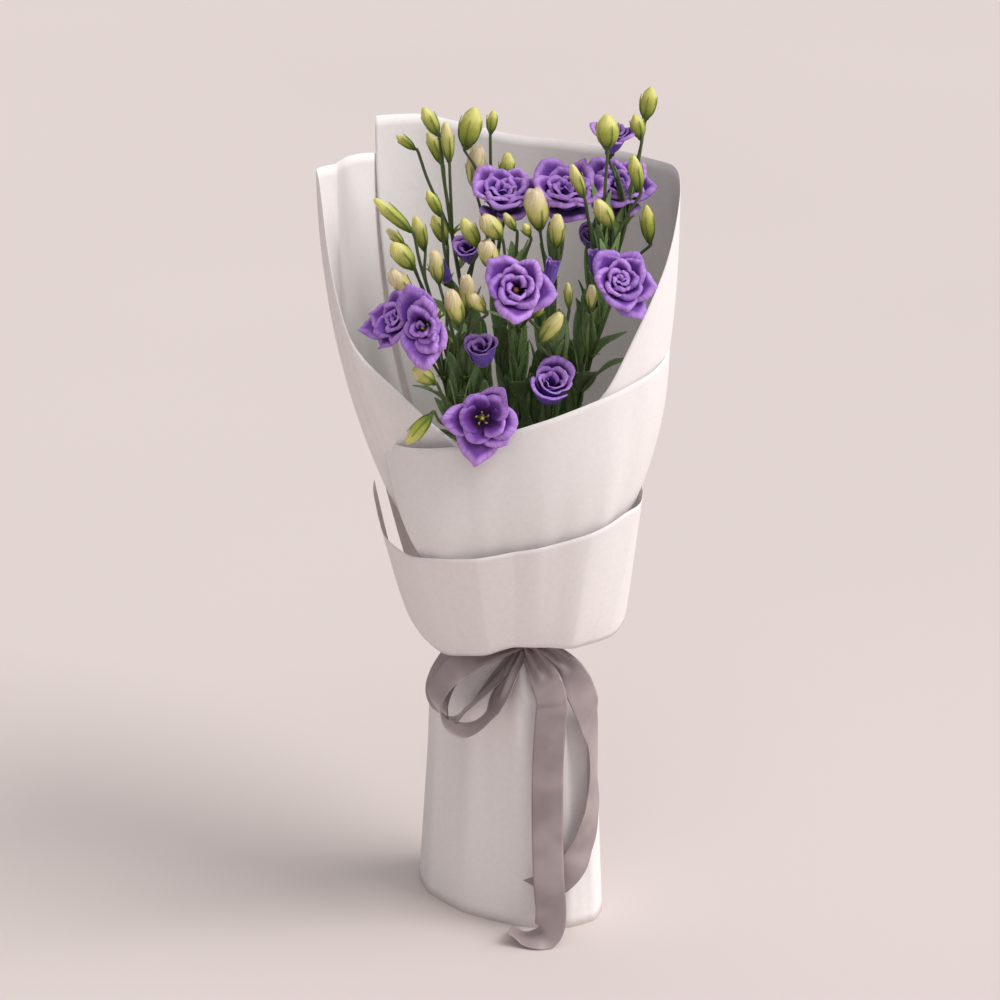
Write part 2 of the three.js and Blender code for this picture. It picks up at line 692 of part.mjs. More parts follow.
// The middle line of a leaf: it climbs beside the stem and arches outwards.
function leafRows(root, leaf, bearing) {
  const outward = new THREE.Vector3(Math.cos(rad(bearing)), Math.sin(rad(bearing)), 0)
  return [0, 0.3, 0.68, 1].map((share) => {
    const rise = leaf.length * (0.78 * share - 0.2 * share * share)
    const reach = leaf.length * (0.42 * share + 0.3 * share * share)
    const point = root.clone().addScaledVector(outward, reach).addScaledVector(UP, rise)
    const half = Math.max(0.5 * leaf.width * Math.sin(Math.PI * share ** 0.8) ** 0.8, 0.7)
    return { point, half, lift: 0.25 * half }
  })
}

// A leaf is turned from its own bearing until it is clear of everything near it.
function clearBearing(root, leaf, spray, layout, taken) {
  let best = { room: -Infinity }
  for (const turn of [0, 20, -20, 40, -40, 60, -60, 80, -80, 110, -110, 145, -145, 180]) {
    const rows = leafRows(root, leaf, leaf.bearing + turn).slice(1)
    let room = Infinity
    for (const { point, half } of rows) {
      const need = (radius) => 0.8 * half + radius + 1
      for (const path of layout.paths) {
        if (path.spray === spray) continue
        for (let i = 0; i + 1 < path.points.length; i++) {
          const { gap } = nearest(point, point, path.points[i], path.points[i + 1])
          room = Math.min(room, gap.length() - need(STEM.forkRadius))
        }
      }
      for (const other of layout.sprays) {
        for (const head of other.heads) {
          if (head.kind === 'bud' && other === spray) continue
          const [a, b, radius] = head.kind === 'bud'
            ? [head.foot, vec(head.tip), head.width / 2] : [head.heart, head.heart, head.radius]
          room = Math.min(room, nearest(point, point, a, b).gap.length() - need(radius))
        }
      }
      for (const spot of taken) {
        if (spot.spray !== spray) room = Math.min(room, spot.point.distanceTo(point) - need(spot.half))
      }
    }
    if (room > best.room + 0.5) best = { room, bearing: leaf.bearing + turn, rows }
    if (best.room > 0) break
  }
  for (const { point, half } of best.rows) taken.push({ point, half, spray })
  return best.bearing
}

// The part of a stem under the tie: it stands on the floor and turns about the bundle.
function footOfStem({ angle, radius }) {
  return [0, 0.4, 0.75, 1].map((share) => {
    const spread = mix(BUNDLE.spread, 1, share ** 0.8)
    const turned = angle + rad(BUNDLE.twist) * (1 - share)
    return new THREE.Vector3(
      TIE.x + radius * spread * Math.cos(turned), TIE.y + radius * spread * Math.sin(turned),
      share * TIE.bottom)
  })
}

function spraySolid(spray, layout, taken) {
  const foot = footOfStem(spray.seat)
  const path = [...foot, ...spray.stem.points]
  const fork = foot.length + spray.forkIndex
  const radii = path.map((_, i) => (i <= fork
    ? mix(STEM.radius, STEM.forkRadius, i / fork)
    : mix(STEM.forkRadius, STALK.radius, (i - fork) / (path.length - 1 - fork))))
  const solids = [stemSolid(path, radii, spray.stem.head, STEM.sides, true)]
  for (const stalk of layout.paths) {
    if (stalk.spray !== spray || !stalk.parent) continue
    const radii = stalk.points.map(() => STALK.radius)
    solids.push(stemSolid(stalk.points, radii, stalk.head, STALK.sides))
  }
  for (const leaf of spray.leaves) {
    const root = spray.stem.points.find((point) => point.z > leaf.z)
    solids.push(leafSolid(root, leaf, clearBearing(root, leaf, spray, layout, taken)))
  }
  return join(solids)
}

// Petals

// How far out and how high a petal's middle line is at a share of its length.
function petalProfile(bloom, whorl, share) {
  const radius = bloom.radius * whorl.radius
  const roll = Math.max(share - 0.7, 0) / 0.3
  const out = mix(PETAL.root, radius * (1 - whorl.flare), share ** 0.9) + roll * radius * whorl.flare
  const rise = bloom.depth * whorl.depth * Math.sin(0.5 * Math.PI * share ** 0.85)
  return new THREE.Vector2(out, 1 + rise - 0.25 * roll * radius * whorl.flare)
}

// One ring round a whorl, on the outer face of its petals or, inset, on the inner one.
// Each petal overlaps the next like a shingle: one side is tucked in, the other is proud.
function whorlRing(bloom, whorl, around, share, inset) {
  const radius = bloom.radius * whorl.radius
  const across = around / whorl.count
  const middle = petalProfile(bloom, whorl, share)
  const lower = petalProfile(bloom, whorl, share - 0.15)
  const inward = middle.clone().sub(lower).normalize().rotateAround(new THREE.Vector2(), Math.PI / 2)
  return Array.from({ length: around }, (_, i) => {
    const k = Math.floor(i / across)
    const side = (2 * (i % across)) / (across - 1) - 1
    const angle = (2 * Math.PI * (k + 0.5 + 0.46 * side)) / whorl.count
    const wave = 0.045 * radius * share ** 2 * Math.cos(2.6 * side + 2.1 * k)
    const rounded = share ** 2 * side ** 2
    const step = inset - PETAL.tuck * whorl.radius * side * share
    const reach = middle.x - 0.12 * radius * rounded + inward.x * step
    const height = middle.y - 0.14 * bloom.depth * whorl.radius ** 2 * rounded + wave + inward.y * step
    return new THREE.Vector3(reach * Math.cos(angle), reach * Math.sin(angle), height)
  })
}

function bloomSolid(bloom) {
  const { whorls, core, floor, around } = FORMS[bloom.form]
  const circle = (radius, z) => Array.from({ length: around }, (_, i) => {
    const angle = (2 * Math.PI * (i + 0.2)) / around
    return new THREE.Vector3(radius * Math.cos(angle), radius * Math.sin(angle), z)
  })
  const rings = [circle(HEART.radius, 0)]
  whorls.forEach((whorl, w) => {
    const inner = whorl.rings.filter((share) => share >= whorl.inner).reverse()
    for (const share of whorl.rings) rings.push(whorlRing(bloom, whorl, around, share, 0))
    for (const share of inner) rings.push(whorlRing(bloom, whorl, around, share, PETAL.thick))
    if (w + 1 < whorls.length) {
      const valley = petalProfile(bloom, whorl, whorl.inner)
      rings.push(circle(VALLEY.out * valley.x, VALLEY.rise * valley.y))
    }
  })
  if (core) {
    const radius = core.radius * bloom.radius
    rings.push(circle(radius, core.low * bloom.depth), circle(0.4 * radius, core.high * bloom.depth))
  } else {
    rings.push(circle(HEART.radius, floor * bloom.depth))
  }
  return skin(rings)
}

// The green pistil and the yellow anthers round it, standing in an open bloom.
function stamenSolid() {
  const pistil = tube([6.8, 11, 16].map((z) => new THREE.Vector3(0, 0, z)), [2.2, 1.2, 1.7], 5)
  const anthers = Array.from({ length: 4 }, (_, k) => {
    const angle = 0.5 * Math.PI * k
    const spot = (out, z) => new THREE.Vector3(out * Math.cos(angle), out * Math.sin(angle), z)
    return tube([spot(1, 8), spot(4.2, 14.6)], [0.5, 1.2], 4)
  })
  return join([pistil, ...anthers])
}

// Paper solids

function between(list, bearing) {
  const way = Math.sign(list[1].bearing - list[0].bearing)
  let k = 0
  while (k + 2 < list.length && way * (bearing - list[k + 1].bearing) > 0) k++
  const share = (bearing - list[k].bearing) / (list[k + 1].bearing - list[k].bearing)
  return { before: list[k], after: list[k + 1], share }
}

// Bearings from one end of a list to the other, with its own places among them.
function bearings(list, step) {
  const found = []
  for (let k = 0; k + 1 < list.length; k++) {
    const span = list[k + 1].bearing - list[k].bearing
    const count = Math.max(1, Math.round(Math.abs(span) / step))
    for (let i = 0; i < count; i++) found.push(list[k].bearing + (span * i) / count)
  }
  found.push(list.at(-1).bearing)
  return found
}

function sheetSolid(sheet) {
  const columns = bearings(sheet.edge, 18).map((bearing) => {
    const { before, after, share } = between(sheet.edge, bearing)
    const at = (key) => mix(before[key] ?? 0, after[key] ?? 0, share)
    const column = [onAxis(bearing + at('lean'), sheet.neck, TIE.bottom + 4)]
    for (let r = 0; r <= sheet.rows; r++) {
      const height = (r / sheet.rows) ** 1.5
      const swell = 1 - (1 - height ** sheet.swell) ** at('bulge')
      const turned = bearing + at('lean') * (1 - height)
      column.push(onAxis(turned, mix(sheet.neck, at('out'), swell), mix(TIE.top, at('z'), height)))
    }
    return column
  })
  return paperSolid(columns)
}

// Paper is as thick across its own columns everywhere, also beside a steep free edge.
function paperSolid(columns) {
  const rows = columns[0].map((_, r) => columns.map((column) => column[r]))
  return thicken(rows, PAPER, (point) => new THREE.Vector3(TIE.y - point.y, point.x - TIE.x, 0))
}

function cuffSolid() {
  const columns = bearings(CUFF, 16).map((bearing) => {
    const { before, after, share } = between(CUFF, bearing)
    return Array.from({ length: CUFF_ROWS + 1 }, (_, r) => {
      const height = r / CUFF_ROWS
      const part = (i) => mix(mix(before.low[i], after.low[i], share),
        mix(before.high[i], after.high[i], share), i === 0 ? height ** 0.8 : height)
      return onAxis(bearing, part(0), part(1))
    })
  })
  return paperSolid(columns)
}

function skirtSolid() {
  const turn = rad(SKIRT.turn)
  const wall = (inset) => SKIRT.levels.map((level) =>
    Array.from({ length: SKIRT.around }, (_, k) => {
      const angle = (2 * Math.PI * k) / SKIRT.around
      const pleat = level.pleat * Math.cos(angle * SKIRT.pleats)
      const long = (level.long + pleat - inset) * Math.cos(angle)
      const short = (level.short + pleat - inset) * Math.sin(angle)
      return new THREE.Vector3(
        level.x + long * Math.cos(turn) - short * Math.sin(turn),
        level.y + long * Math.sin(turn) + short * Math.cos(turn), level.z)
    }))
  return slab(wall(0), wall(PAPER), true)
}

// Ribbon solids

function ribbonRun(places) {
  const middle = new THREE.CatmullRomCurve3(places.map(({ at }) => vec(at)))
  const steps = Math.round(1.5 * (places.length - 1))
  const grid = Array.from({ length: steps + 1 }, (_, i) => {
    const share = i / steps
    const k = Math.min(Math.floor(share * (places.length - 1)), places.length - 2)
    const wide = vec(places[k].wide).lerp(vec(places[k + 1].wide), share * (places.length - 1) - k)
    const along = middle.getTangent(share)
    const pinch = Math.min(1, mix(RIBBON.pinch, 1, share * (places.length - 1) / 2))
    wide.addScaledVector(along, -wide.dot(along)).setLength(0.5 * RIBBON.width * pinch)
    const point = middle.getPoint(share)
    return [point.clone().sub(wide), point.clone().add(wide)]
  })
  return thicken(grid, RIBBON.thick)
}

function ribbonSolid() {
  const ring = (radius) => [-0.5, 0.5].map((side) => Array.from({ length: 16 }, (_, k) =>
    onAxis(22.5 * k, radius, TIE.middle + side * RIBBON.bandHeight)))
  const band = slab(ring(RIBBON.band + RIBBON.thick), ring(RIBBON.band), true)
  const knot = skin([[-11, 4], [-7, 7], [0, 6.5], [7, 7], [11, 4]].map(([z, radius]) =>
    Array.from({ length: 8 }, (_, k) => new THREE.Vector3(
      TIE.x + 3 + 1.3 * radius * Math.cos((Math.PI * k) / 4),
      TIE.y - RIBBON.band - 4.5 + 0.7 * radius * Math.sin((Math.PI * k) / 4), TIE.middle + z))))
  return join([band, knot, ...Object.values(RUNS).map(ribbonRun)])
}

// The bouquet

const COLOURS = {
  stem: { color: 0x6f8a3c, roughness: 0.6 },
  petal: { color: 0x7a4bc0, roughness: 0.55 },
  stamen: { color: 0xc9b040, roughness: 0.6 },
  paper: { color: 0xeee6e2, roughness: 0.8 },
  ribbon: { color: 0x8f7f80, roughness: 0.45 },
}
const materials = Object.fromEntries(Object.entries(COLOURS).map(([name, look]) =>
  [name, new THREE.MeshStandardMaterial({ ...look, metalness: 0 })]))

const group = new THREE.Group()
group.position.set(-ORIGIN.x, -ORIGIN.y, 0)

function add(name, solid, material) {
  const { numProp, vertProperties, triVerts } = solid.getMesh()
  const positions = new Float32Array(3 * (vertProperties.length / numProp))
  for (let i = 0; i < positions.length; i++) {
    positions[i] = vertProperties[Math.floor(i / 3) * numProp + (i % 3)]
  }
  const geometry = new THREE.BufferGeometry()
  geometry.setAttribute('position', new THREE.BufferAttribute(positions, 3))
  geometry.setIndex(new THREE.BufferAttribute(new Uint32Array(triVerts), 1))
  const mesh = new THREE.Mesh(geometry, materials[material])
  mesh.name = name
  group.add(mesh)
  return mesh
}

const layout = layOut()
untangle(layout)
const taken = []
for (const spray of layout.sprays) {
  add(`spray_${spray.name}`, spraySolid(spray, layout, taken), 'stem')
}

for (const head of layout.sprays.flatMap((spray) => spray.heads)) {
  if (head.kind !== 'bloom') continue
  const seat = head.foot.clone().addScaledVector(head.along, SEAT_GAP)
  const turned = new THREE.Quaternion().setFromUnitVectors(UP, head.along)
  const pieces = [add(`bloom_${head.name}`, bloomSolid(head), 'petal')]
  if (head.form === 'open') pieces.push(add(`stamens_${head.name}`, stamenSolid(), 'stamen'))
  for (const piece of pieces) {
    piece.position.copy(seat)
    piece.quaternion.copy(turned)
  }
}

for (const [name, sheet] of Object.entries(SHEETS)) add(name, sheetSolid(sheet), 'paper')
add('paper_cuff', cuffSolid(), 'paper')
add('paper_skirt', skirtSolid(), 'paper')
add('ribbon', ribbonSolid(), 'ribbon')

export default group
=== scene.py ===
import bpy
import math
import numpy as np
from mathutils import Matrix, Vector
from types import SimpleNamespace as Item


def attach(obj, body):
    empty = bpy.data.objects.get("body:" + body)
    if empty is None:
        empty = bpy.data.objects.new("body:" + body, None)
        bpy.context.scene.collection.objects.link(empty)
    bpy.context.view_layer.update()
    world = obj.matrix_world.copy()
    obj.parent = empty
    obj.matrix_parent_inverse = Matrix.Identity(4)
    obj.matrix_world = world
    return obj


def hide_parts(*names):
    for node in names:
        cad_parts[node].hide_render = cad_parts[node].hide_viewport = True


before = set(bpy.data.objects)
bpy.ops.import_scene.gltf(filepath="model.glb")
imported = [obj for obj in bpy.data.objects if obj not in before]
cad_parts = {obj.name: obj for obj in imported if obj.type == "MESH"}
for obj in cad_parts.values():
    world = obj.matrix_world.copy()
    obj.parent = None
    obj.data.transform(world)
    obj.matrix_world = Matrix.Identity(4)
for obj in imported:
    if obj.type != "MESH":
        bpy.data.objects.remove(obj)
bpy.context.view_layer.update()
bpy.ops.object.select_all(action="DESELECT")

# The studio: a bare pale floor, wide soft lamps overhead and on the right that throw a faint
# shadow to the back left, and a camera that looks down on the bouquet by 22 degrees.
# Finish is how every material here is written; its values add and multiply in Python.
CAMERA_DISTANCE, CAMERA_TILT = 2.7, math.radians(22)
CAMERA_TARGET = (0.0002, -0.0084, 0.358)
FOCAL_SHARE, SENSOR = 3.418, 36
FLOOR_SIZE, FLOOR_COLOUR, FLOOR_CLOUD = 40, (216, 205, 202), 3
# Where each lamp stands, its angle, its strength and its colour.
LAMPS = [((0.2, -0.35, 3.2), 1.0, 0.8, (1, 0.985, 0.975)),
         ((2.0, -0.8, 2.9), 0.5, 1.65, (1, 0.985, 0.975)),
         ((2.9, 0.3, 1.5), 0.5, 1.05, (1, 0.985, 0.98)),
         ((0.2, -2.4, 2.2), 1.0, 0.35, (1, 0.985, 0.98))]
SKY_COLOUR, SKY_STRENGTH = (0.99, 0.985, 1), 0.29


def rgb(colour):
    """A colour picked as it looks on a screen, as the linear light that a shader takes."""
    return tuple((c / 255 / 12.92) if c <= 10 else ((c / 255 + 0.055) / 1.055) ** 2.4 for c in colour)


class Value:
    """A node's output that takes part in sums and products."""

    def __init__(self, finish, socket):
        self.finish, self.socket = finish, socket

    def maths(self, operation, *terms):
        return self.finish.node("Math", {"operation": operation}, *terms)

    def __add__(self, other):
        return self.maths("ADD", self, other)

    def __sub__(self, other):
        return self.maths("SUBTRACT", self, other)

    def __rsub__(self, other):
        return self.maths("SUBTRACT", other, self)

    def __mul__(self, other):
        return self.maths("MULTIPLY", self, other)

    def __abs__(self):
        return self.maths("ABSOLUTE", self)

    def ease(self, low, high):
        """0 below low, 1 above high and a smooth climb between them."""
        smooth = {"interpolation_type": "SMOOTHSTEP"}
        return self.finish.node("MapRange", smooth, self, low, high, 0, 1)


class Finish:
    """A material on one Principled shader."""

    def __init__(self, name, **sockets):
        self.material = bpy.data.materials.new(name)
        self.material.use_nodes = True
        self.tree = self.material.node_tree
        self.set(**sockets)

    def fill(self, socket, value):
        if isinstance(value, Value):
            self.tree.links.new(value.socket, socket)
        elif hasattr(socket.default_value, "__len__"):
            socket.default_value = (*value, 1)[:len(socket.default_value)]
        else:
            socket.default_value = value

    def set(self, **sockets):
        inputs = self.tree.nodes["Principled BSDF"].inputs
        for name, value in sockets.items():
            self.fill(inputs[name.replace("_", " ")], value)

    def node(self, kind, settings, *values, output=0, **named):
        made = self.tree.nodes.new(f"ShaderNode{kind}")
        for key, value in settings.items():
            setattr(made, key, value)
        for socket, value in zip(made.inputs, values):
            if value is not None:
                self.fill(socket, value)
        for name, value in named.items():
            self.fill(made.inputs[name.replace("_", " ")], value)
        return Value(self, made.outputs[output])

    def mix(self, share, first, second):
        """A blend of two colours, each a value or picked as it looks on a screen."""
        pair = [side if isinstance(side, Value) else rgb(side) for side in (first, second)]
        unused = [None] * 5
        return self.node("Mix", {"data_type": "RGBA"}, share, *unused, *pair, output=2)

    def place(self):
        return self.node("TexCoord", {}, output="Object")

    def across_and_along(self):
        """The two directions of a strip, each from 0 to 1."""
        uv = self.node("TexCoord", {}, output="UV")
        return [self.node("SeparateXYZ", {}, uv, output=axis) for axis in "XY"]

    def tone(self):
        """A number of its own for each petal, bud or leaf."""
        return self.node("Attribute", {"attribute_name": "tone"}, output="Fac")

    def noise(self, place, scale, detail=2.0, roughness=0.5):
        if not isinstance(place, Value):
            place = self.node("CombineXYZ", {}, *place)
        return self.node(
            "TexNoise", {}, Vector=place, Scale=scale, Detail=detail, Roughness=roughness)

    def bump(self, height, strength, distance):
        return self.node("Bump", {}, Strength=strength, Distance=distance, Height=height)


floor_finish = Finish("studio_floor", Roughness=0.9, Specular_IOR_Level=0.1)
floor_cloud = floor_finish.noise(floor_finish.place(), 0.7).ease(0.3, 0.7)
cloud_colour = [c - FLOOR_CLOUD for c in FLOOR_COLOUR]
floor_finish.set(Base_Color=floor_finish.mix(floor_cloud, FLOOR_COLOUR, cloud_colour))
bpy.ops.mesh.primitive_plane_add(size=FLOOR_SIZE, location=(0, 0, 0))
floor = bpy.context.object
floor.name = "floor"
floor.data.materials.append(floor_finish.material)

camera = bpy.data.objects.new("camera", bpy.data.cameras.new("camera"))
bpy.context.collection.objects.link(camera)
camera.data.sensor_width = SENSOR
camera.data.lens = FOCAL_SHARE * SENSOR
camera.location = np.array(CAMERA_TARGET) + CAMERA_DISTANCE * np.array(
    [0, -math.cos(CAMERA_TILT), math.sin(CAMERA_TILT)])
camera.rotation_euler = (math.pi / 2 - CAMERA_TILT, 0, 0)
bpy.context.scene.camera = camera

for number, (place, angle, power, colour) in enumerate(LAMPS):
    light = bpy.data.lights.new(f"lamp_{number}", "SUN")
    light.angle, light.energy, light.color = angle, power, colour
    holder = bpy.data.objects.new(f"lamp_{number}", light)
    bpy.context.collection.objects.link(holder)
    holder.location = place
    aim = Vector(CAMERA_TARGET) - holder.location
    holder.rotation_euler = aim.to_track_quat("-Z", "Y").to_euler()
world = bpy.data.worlds.new("studio")
world.use_nodes = True
background = world.node_tree.nodes["Background"].inputs
background["Color"].default_value = (*SKY_COLOUR, 1)
background["Strength"].default_value = SKY_STRENGTH
bpy.context.scene.world = world
bpy.context.scene.view_settings.view_transform = "Standard"

# Where the stems run. Each spray is a cut stem that stands on the table, turns about the
# others where the ribbon ties them and forks under its heads. Lengths are millimetres from
# the tie's axis on the table; to_frame moves finished points into the frame's metres.
MM = 0.001
TIE_IN_FRAME = np.array([8.2, -8.4, 0])
TIE_X, TIE_BOTTOM, TIE_MIDDLE, TIE_TOP = 8, 228, 244, 260
STEM_RADIUS, FORK_RADIUS, STALK_RADIUS = 2.2, 1.6, 1.2
INNER_COUNT, INNER_RADIUS, OUTER_RADIUS = 3, 2.55, 7.2
BUNDLE_SPREAD, BUNDLE_TWIST = 3, math.radians(70)
FORK_REACH, FORK_DROP, BRANCH_DROP = 0.72, 78, 44
ROUTE_STEP, CLEARANCE, ROUNDS, SMOOTHING, LAYER = 30, 1.4, 160, 0.1, 40
SEAT_GAP = 0.3
UP = np.array([0, 0, 1.0])
# A spray is its buds, its blooms, its leaves and, where it is known, its fork. A bud is its
# foot, its tip, its width and how ripe it is, from 0, green, to 1, cream. A bloom is its
# name, its mouth, where it faces, its radius, depth and form. A leaf is its height,
# bearing, length and width.
SPRAYS = {
    "front": (
        [(-58, -86, 488, -74, -88, 500, 12, 0.5), (-60, -103, 468, -79, -107, 446, 11, 0.15)],
        [("front", (-21, -104, 466), (0.05, -0.9, 0.3), 27, 20, "open")],
        [(408, 200, 50, 17)], (-28, -66, 452)),
    "left_front": (
        [(-76, -50, 546, -91, -52, 566, 13, 0.9)],
        [("left_tall", (-67, -92, 534), (-0.25, -0.85, 0.35), 27, 20, "open"),
         ("left_far", (-87, -63, 531), (-0.7, -0.5, 0.5), 15, 18, "far")],
        [(440, 215, 52, 17), (415, 130, 48, 15)]),
    "left": (
        [(-74, -46, 566, -90, -48, 586, 15, 0.4), (-82, -22, 577, -94, -22, 589, 7, 0.6),
         (-76, -30, 590, -104, -30, 616, 10, 0.2), (-66, -12, 570, -73, -14, 597, 11, 0.4)],
        [("left_small", (-53, -20, 556), (-0.3, -0.5, 0.8), 10, 20, "tight")],
        [(450, 170, 46, 15)]),
    "left_mid": (
        [(-38, -81, 534, -46, -84, 561, 14, 0.75), (-31, -60, 538, -34, -62, 566, 12, 0.85),
         (-20, -86, 545, -30, -88, 559, 10, 0.65), (-54, -50, 556, -58, -52, 582, 11, 0.65)],
        [("low_mid", (-23, -74, 512), (-0.1, -0.45, 0.85), 15, 25, "cup")],
        [(425, 250, 44, 14)]),
    "left_back": (
        [(-54, 4, 592, -64, 4, 612, 9, 0.05), (-50, 10, 568, -60, 10, 590, 11, 0.1),
         (-25, -36, 580, -37, -36, 602, 12, 0.4)],
        [("back_left", (-34, 0, 567), (-0.2, -0.6, 0.75), 13, 22, "cup")],
        [(470, 150, 48, 16), (430, 250, 44, 15)]),
    "top_left": (
        [(-74, 26, 638, -88, 26, 649, 7, 0), (-56, 18, 652, -67, 18, 673, 11, 0.25),
         (-53, 32, 625, -64, 32, 650, 9, 0.1), (-47, 18, 631, -50, 18, 662, 10, 0.5)],
        [],
        [(500, 160, 46, 13), (540, 40, 30, 8)]),
    "top": (
        [(-34, 32, 638, -27, 32, 670, 18, 0.1), (-15, 40, 647, -13, 40, 665, 8, 0),
         (-26, 44, 600, -26, 44, 636, 16, 0.8), (-3, 52, 604, -2, 52, 628, 12, 0.3)],
        [("top_left", (-5, 14, 603), (0, -0.35, 0.95), 20, 22, "frill")],
        [(500, 90, 50, 15)]),
    "centre": (
        [(-8, -42, 588, -22, -42, 606, 15, 0.6), (3, -30, 591, -5, -30, 604, 7, 0.5),
         (-14, -46, 566, -20, -46, 588, 15, 0.9), (14, -36, 588, 10, -38, 598, 7, 0.4)],
        [("centre", (4, -86, 562), (0.05, -0.8, 0.55), 26, 20, "eye"),
         ("centre_small", (31, -56, 571), (0.2, -0.2, 0.95), 9, 24, "tight")],
        [(450, 275, 50, 17), (480, 200, 40, 12)]),
    "centre_back": (
        [(22, -24, 590, 17, -24, 622, 18, 1), (35, -38, 580, 35, -38, 606, 12, 0.55)],
        [("top_mid", (42, 0, 612), (0.05, -0.45, 0.9), 20, 26, "frill")],
        [(470, 300, 52, 17), (440, 60, 46, 15)]),
    "low": (
        [(23, -80, 519, 38, -84, 543, 13, 0.5), (17, -72, 536, 25, -70, 545, 7, 0.3),
         (44, -50, 536, 43, -50, 556, 6, 0.4)],
        [("low_right", (31, -70, 481), (0.15, -0.55, 0.8), 17, 26, "cup")],
        [(395, 330, 58, 20), (410, 290, 44, 16)]),
    "right": (
        [(61, -54, 536, 61, -54, 555, 8, 0.7), (76, -32, 594, 64, -34, 616, 13, 0.45)],
        [("right", (82, -72, 563), (0.15, -0.75, 0.6), 23, 20, "rose"),
         ("right_upper", (64, -36, 570), (-0.1, -0.3, 0.95), 10, 24, "tight")],
        [(430, 340, 60, 20), (455, 280, 54, 19)]),
    "right_back": (
        [(73, -18, 652, 72, -18, 678, 18, 0.15), (55, -26, 616, 45, -28, 642, 9, 0.5),
         (98, -6, 615, 92, -6, 643, 11, 0.3)],
        [("top_low", (62, -2, 578), (0.1, -0.7, 0.7), 12, 20, "cup")],
        [(470, 10, 48, 16)], (72, -10, 500)),
    "far_right": (
        [(99, 14, 650, 94, 14, 669, 11, 0.05), (103, 20, 664, 107, 20, 689, 13, 0.1),
         (106, -12, 576, 103, -14, 606, 11, 0.1)],
        [("top_pale", (78, 14, 655), (0.1, -0.3, 0.95), 13, 24, "cup"),
         ("top_right", (82, 26, 606), (0.1, -0.5, 0.85), 20, 24, "frill")],
        [(480, 60, 50, 16), (520, 350, 36, 10)]),
}


def to_frame(points):
    return (np.asarray(points, float) + TIE_IN_FRAME) * MM


def unit(vectors):
    vectors = np.asarray(vectors, float)
    return vectors / np.maximum(np.linalg.norm(vectors, axis=-1, keepdims=True), 1e-12)


def bend_to(start, leave, end, arrive, steps):
    reach = 0.4 * np.linalg.norm(end - start)
    t = np.linspace(0, 1, steps + 1)[:, None]
    a, b = start + reach * leave, end - reach * arrive
    return (1 - t)**3 * start + 3 * (1 - t)**2 * t * a + 3 * (1 - t) * t**2 * b + t**3 * end


def nearest(a0, a1, b0, b1):
    """How far along two stretches their nearest points are, and the gap between these."""
    u, v, w = a1 - a0, b1 - b0, a0 - b0
    a, b, c, d, e = [(x * y).sum(1) for x, y in ((u, u), (u, v), (v, v), (u, w), (v, w))]
    bottom = a * c - b * b
    apart = bottom > 1e-9
    s = np.where(apart, np.clip((b * e - c * d) / np.where(apart, bottom, 1), 0, 1), 0)
    t = np.clip((b * s + e) / np.maximum(c, 1e-9), 0, 1)
    s = np.clip((b * t - d) / np.maximum(a, 1e-9), 0, 1)
    return s, t, w + s[:, None] * u - t[:, None] * v


def heads_of(buds, blooms):
    heads = []
    for *ends, width, ripe in buds:
        foot, tip = np.reshape(ends, (2, 3)).astype(float)
        heads.append(Item(kind="bud", foot=foot, tip=tip, along=unit(tip - foot), width=width,
                          ripe=ripe, ends=(foot, tip), room=width / 2))
    for name, mouth, face, radius, depth, form in blooms:
        along = unit(face)
        heart = mouth - 0.4 * depth * along
        foot = mouth - (0.8 * depth + SEAT_GAP) * along
        heads.append(Item(kind="bloom", name=name, foot=foot, along=along, depth=depth, form=form,
                          ends=(heart, heart), size=radius, room=1.06 * radius + 1))
    return sorted(heads, key=lambda head: head.foot[2])


def lay_out():
    """The route of every stem and side stalk, from the tie to the head that it bears."""
    sprays, paths = [], []
    for name, (buds, blooms, leaves, *fork) in SPRAYS.items():
        heads = heads_of(buds, blooms)
        out = (np.mean([head.foot for head in heads], axis=0) - [TIE_X, 0, 0]) * [1, 1, 0]
        spray = Item(name=name, number=len(sprays), heads=heads, leaves=leaves, fork=fork, stalks=[],
                     out=out, bearing=math.atan2(out[1], out[0]))
        sprays.append(spray)
        for head in heads:
            head.spray = spray
    ranked = sorted(sprays, key=lambda spray: np.linalg.norm(spray.out))
    for members, radius in ((ranked[:INNER_COUNT], INNER_RADIUS), (ranked[INNER_COUNT:], OUTER_RADIUS)):
        members.sort(key=lambda spray: spray.bearing)
        for k, spray in enumerate(members):
            spray.angle = members[0].bearing + 2 * math.pi * k / len(members)
            spray.radius = radius
    for spray in sprays:
        angle, radius = spray.angle, spray.radius
        seat = np.array([TIE_X + radius * math.cos(angle), radius * math.sin(angle), TIE_TOP])
        top = spray.heads[-1]
        fork = FORK_REACH * spray.out + [TIE_X, 0, spray.heads[0].foot[2] - FORK_DROP]
        if spray.fork:
            fork = np.array(spray.fork[0], float)
        lower, upper = [
            bend_to(start, UP, end, arrive, math.ceil(np.linalg.norm(end - start) / ROUTE_STEP))
            for start, end, arrive in ((seat, fork, unit(unit(fork - seat) + UP)),
                                       (fork, top.foot, top.along))]
        route = np.vstack([lower, upper[1:]])
        stem = Item(spray=spray, number=len(paths), head=top, stem=None, points=route)
        paths.append(stem)
        spray.stem, spray.fork_index = stem, len(lower) - 1
        for head in spray.heads[:-1]:
            start, low = spray.fork_index, head.foot[2] - BRANCH_DROP
            while start < len(stem.points) - 3 and stem.points[start + 1][2] < low:
                start += 1
            root = stem.points[start]
            points = bend_to(root, unit(unit(head.foot - root) + UP), head.foot, head.along, 3)
            spray.stalks.append(Item(spray=spray, head=head, stem=stem, start=start, points=points))
        paths += spray.stalks
    return sprays, paths


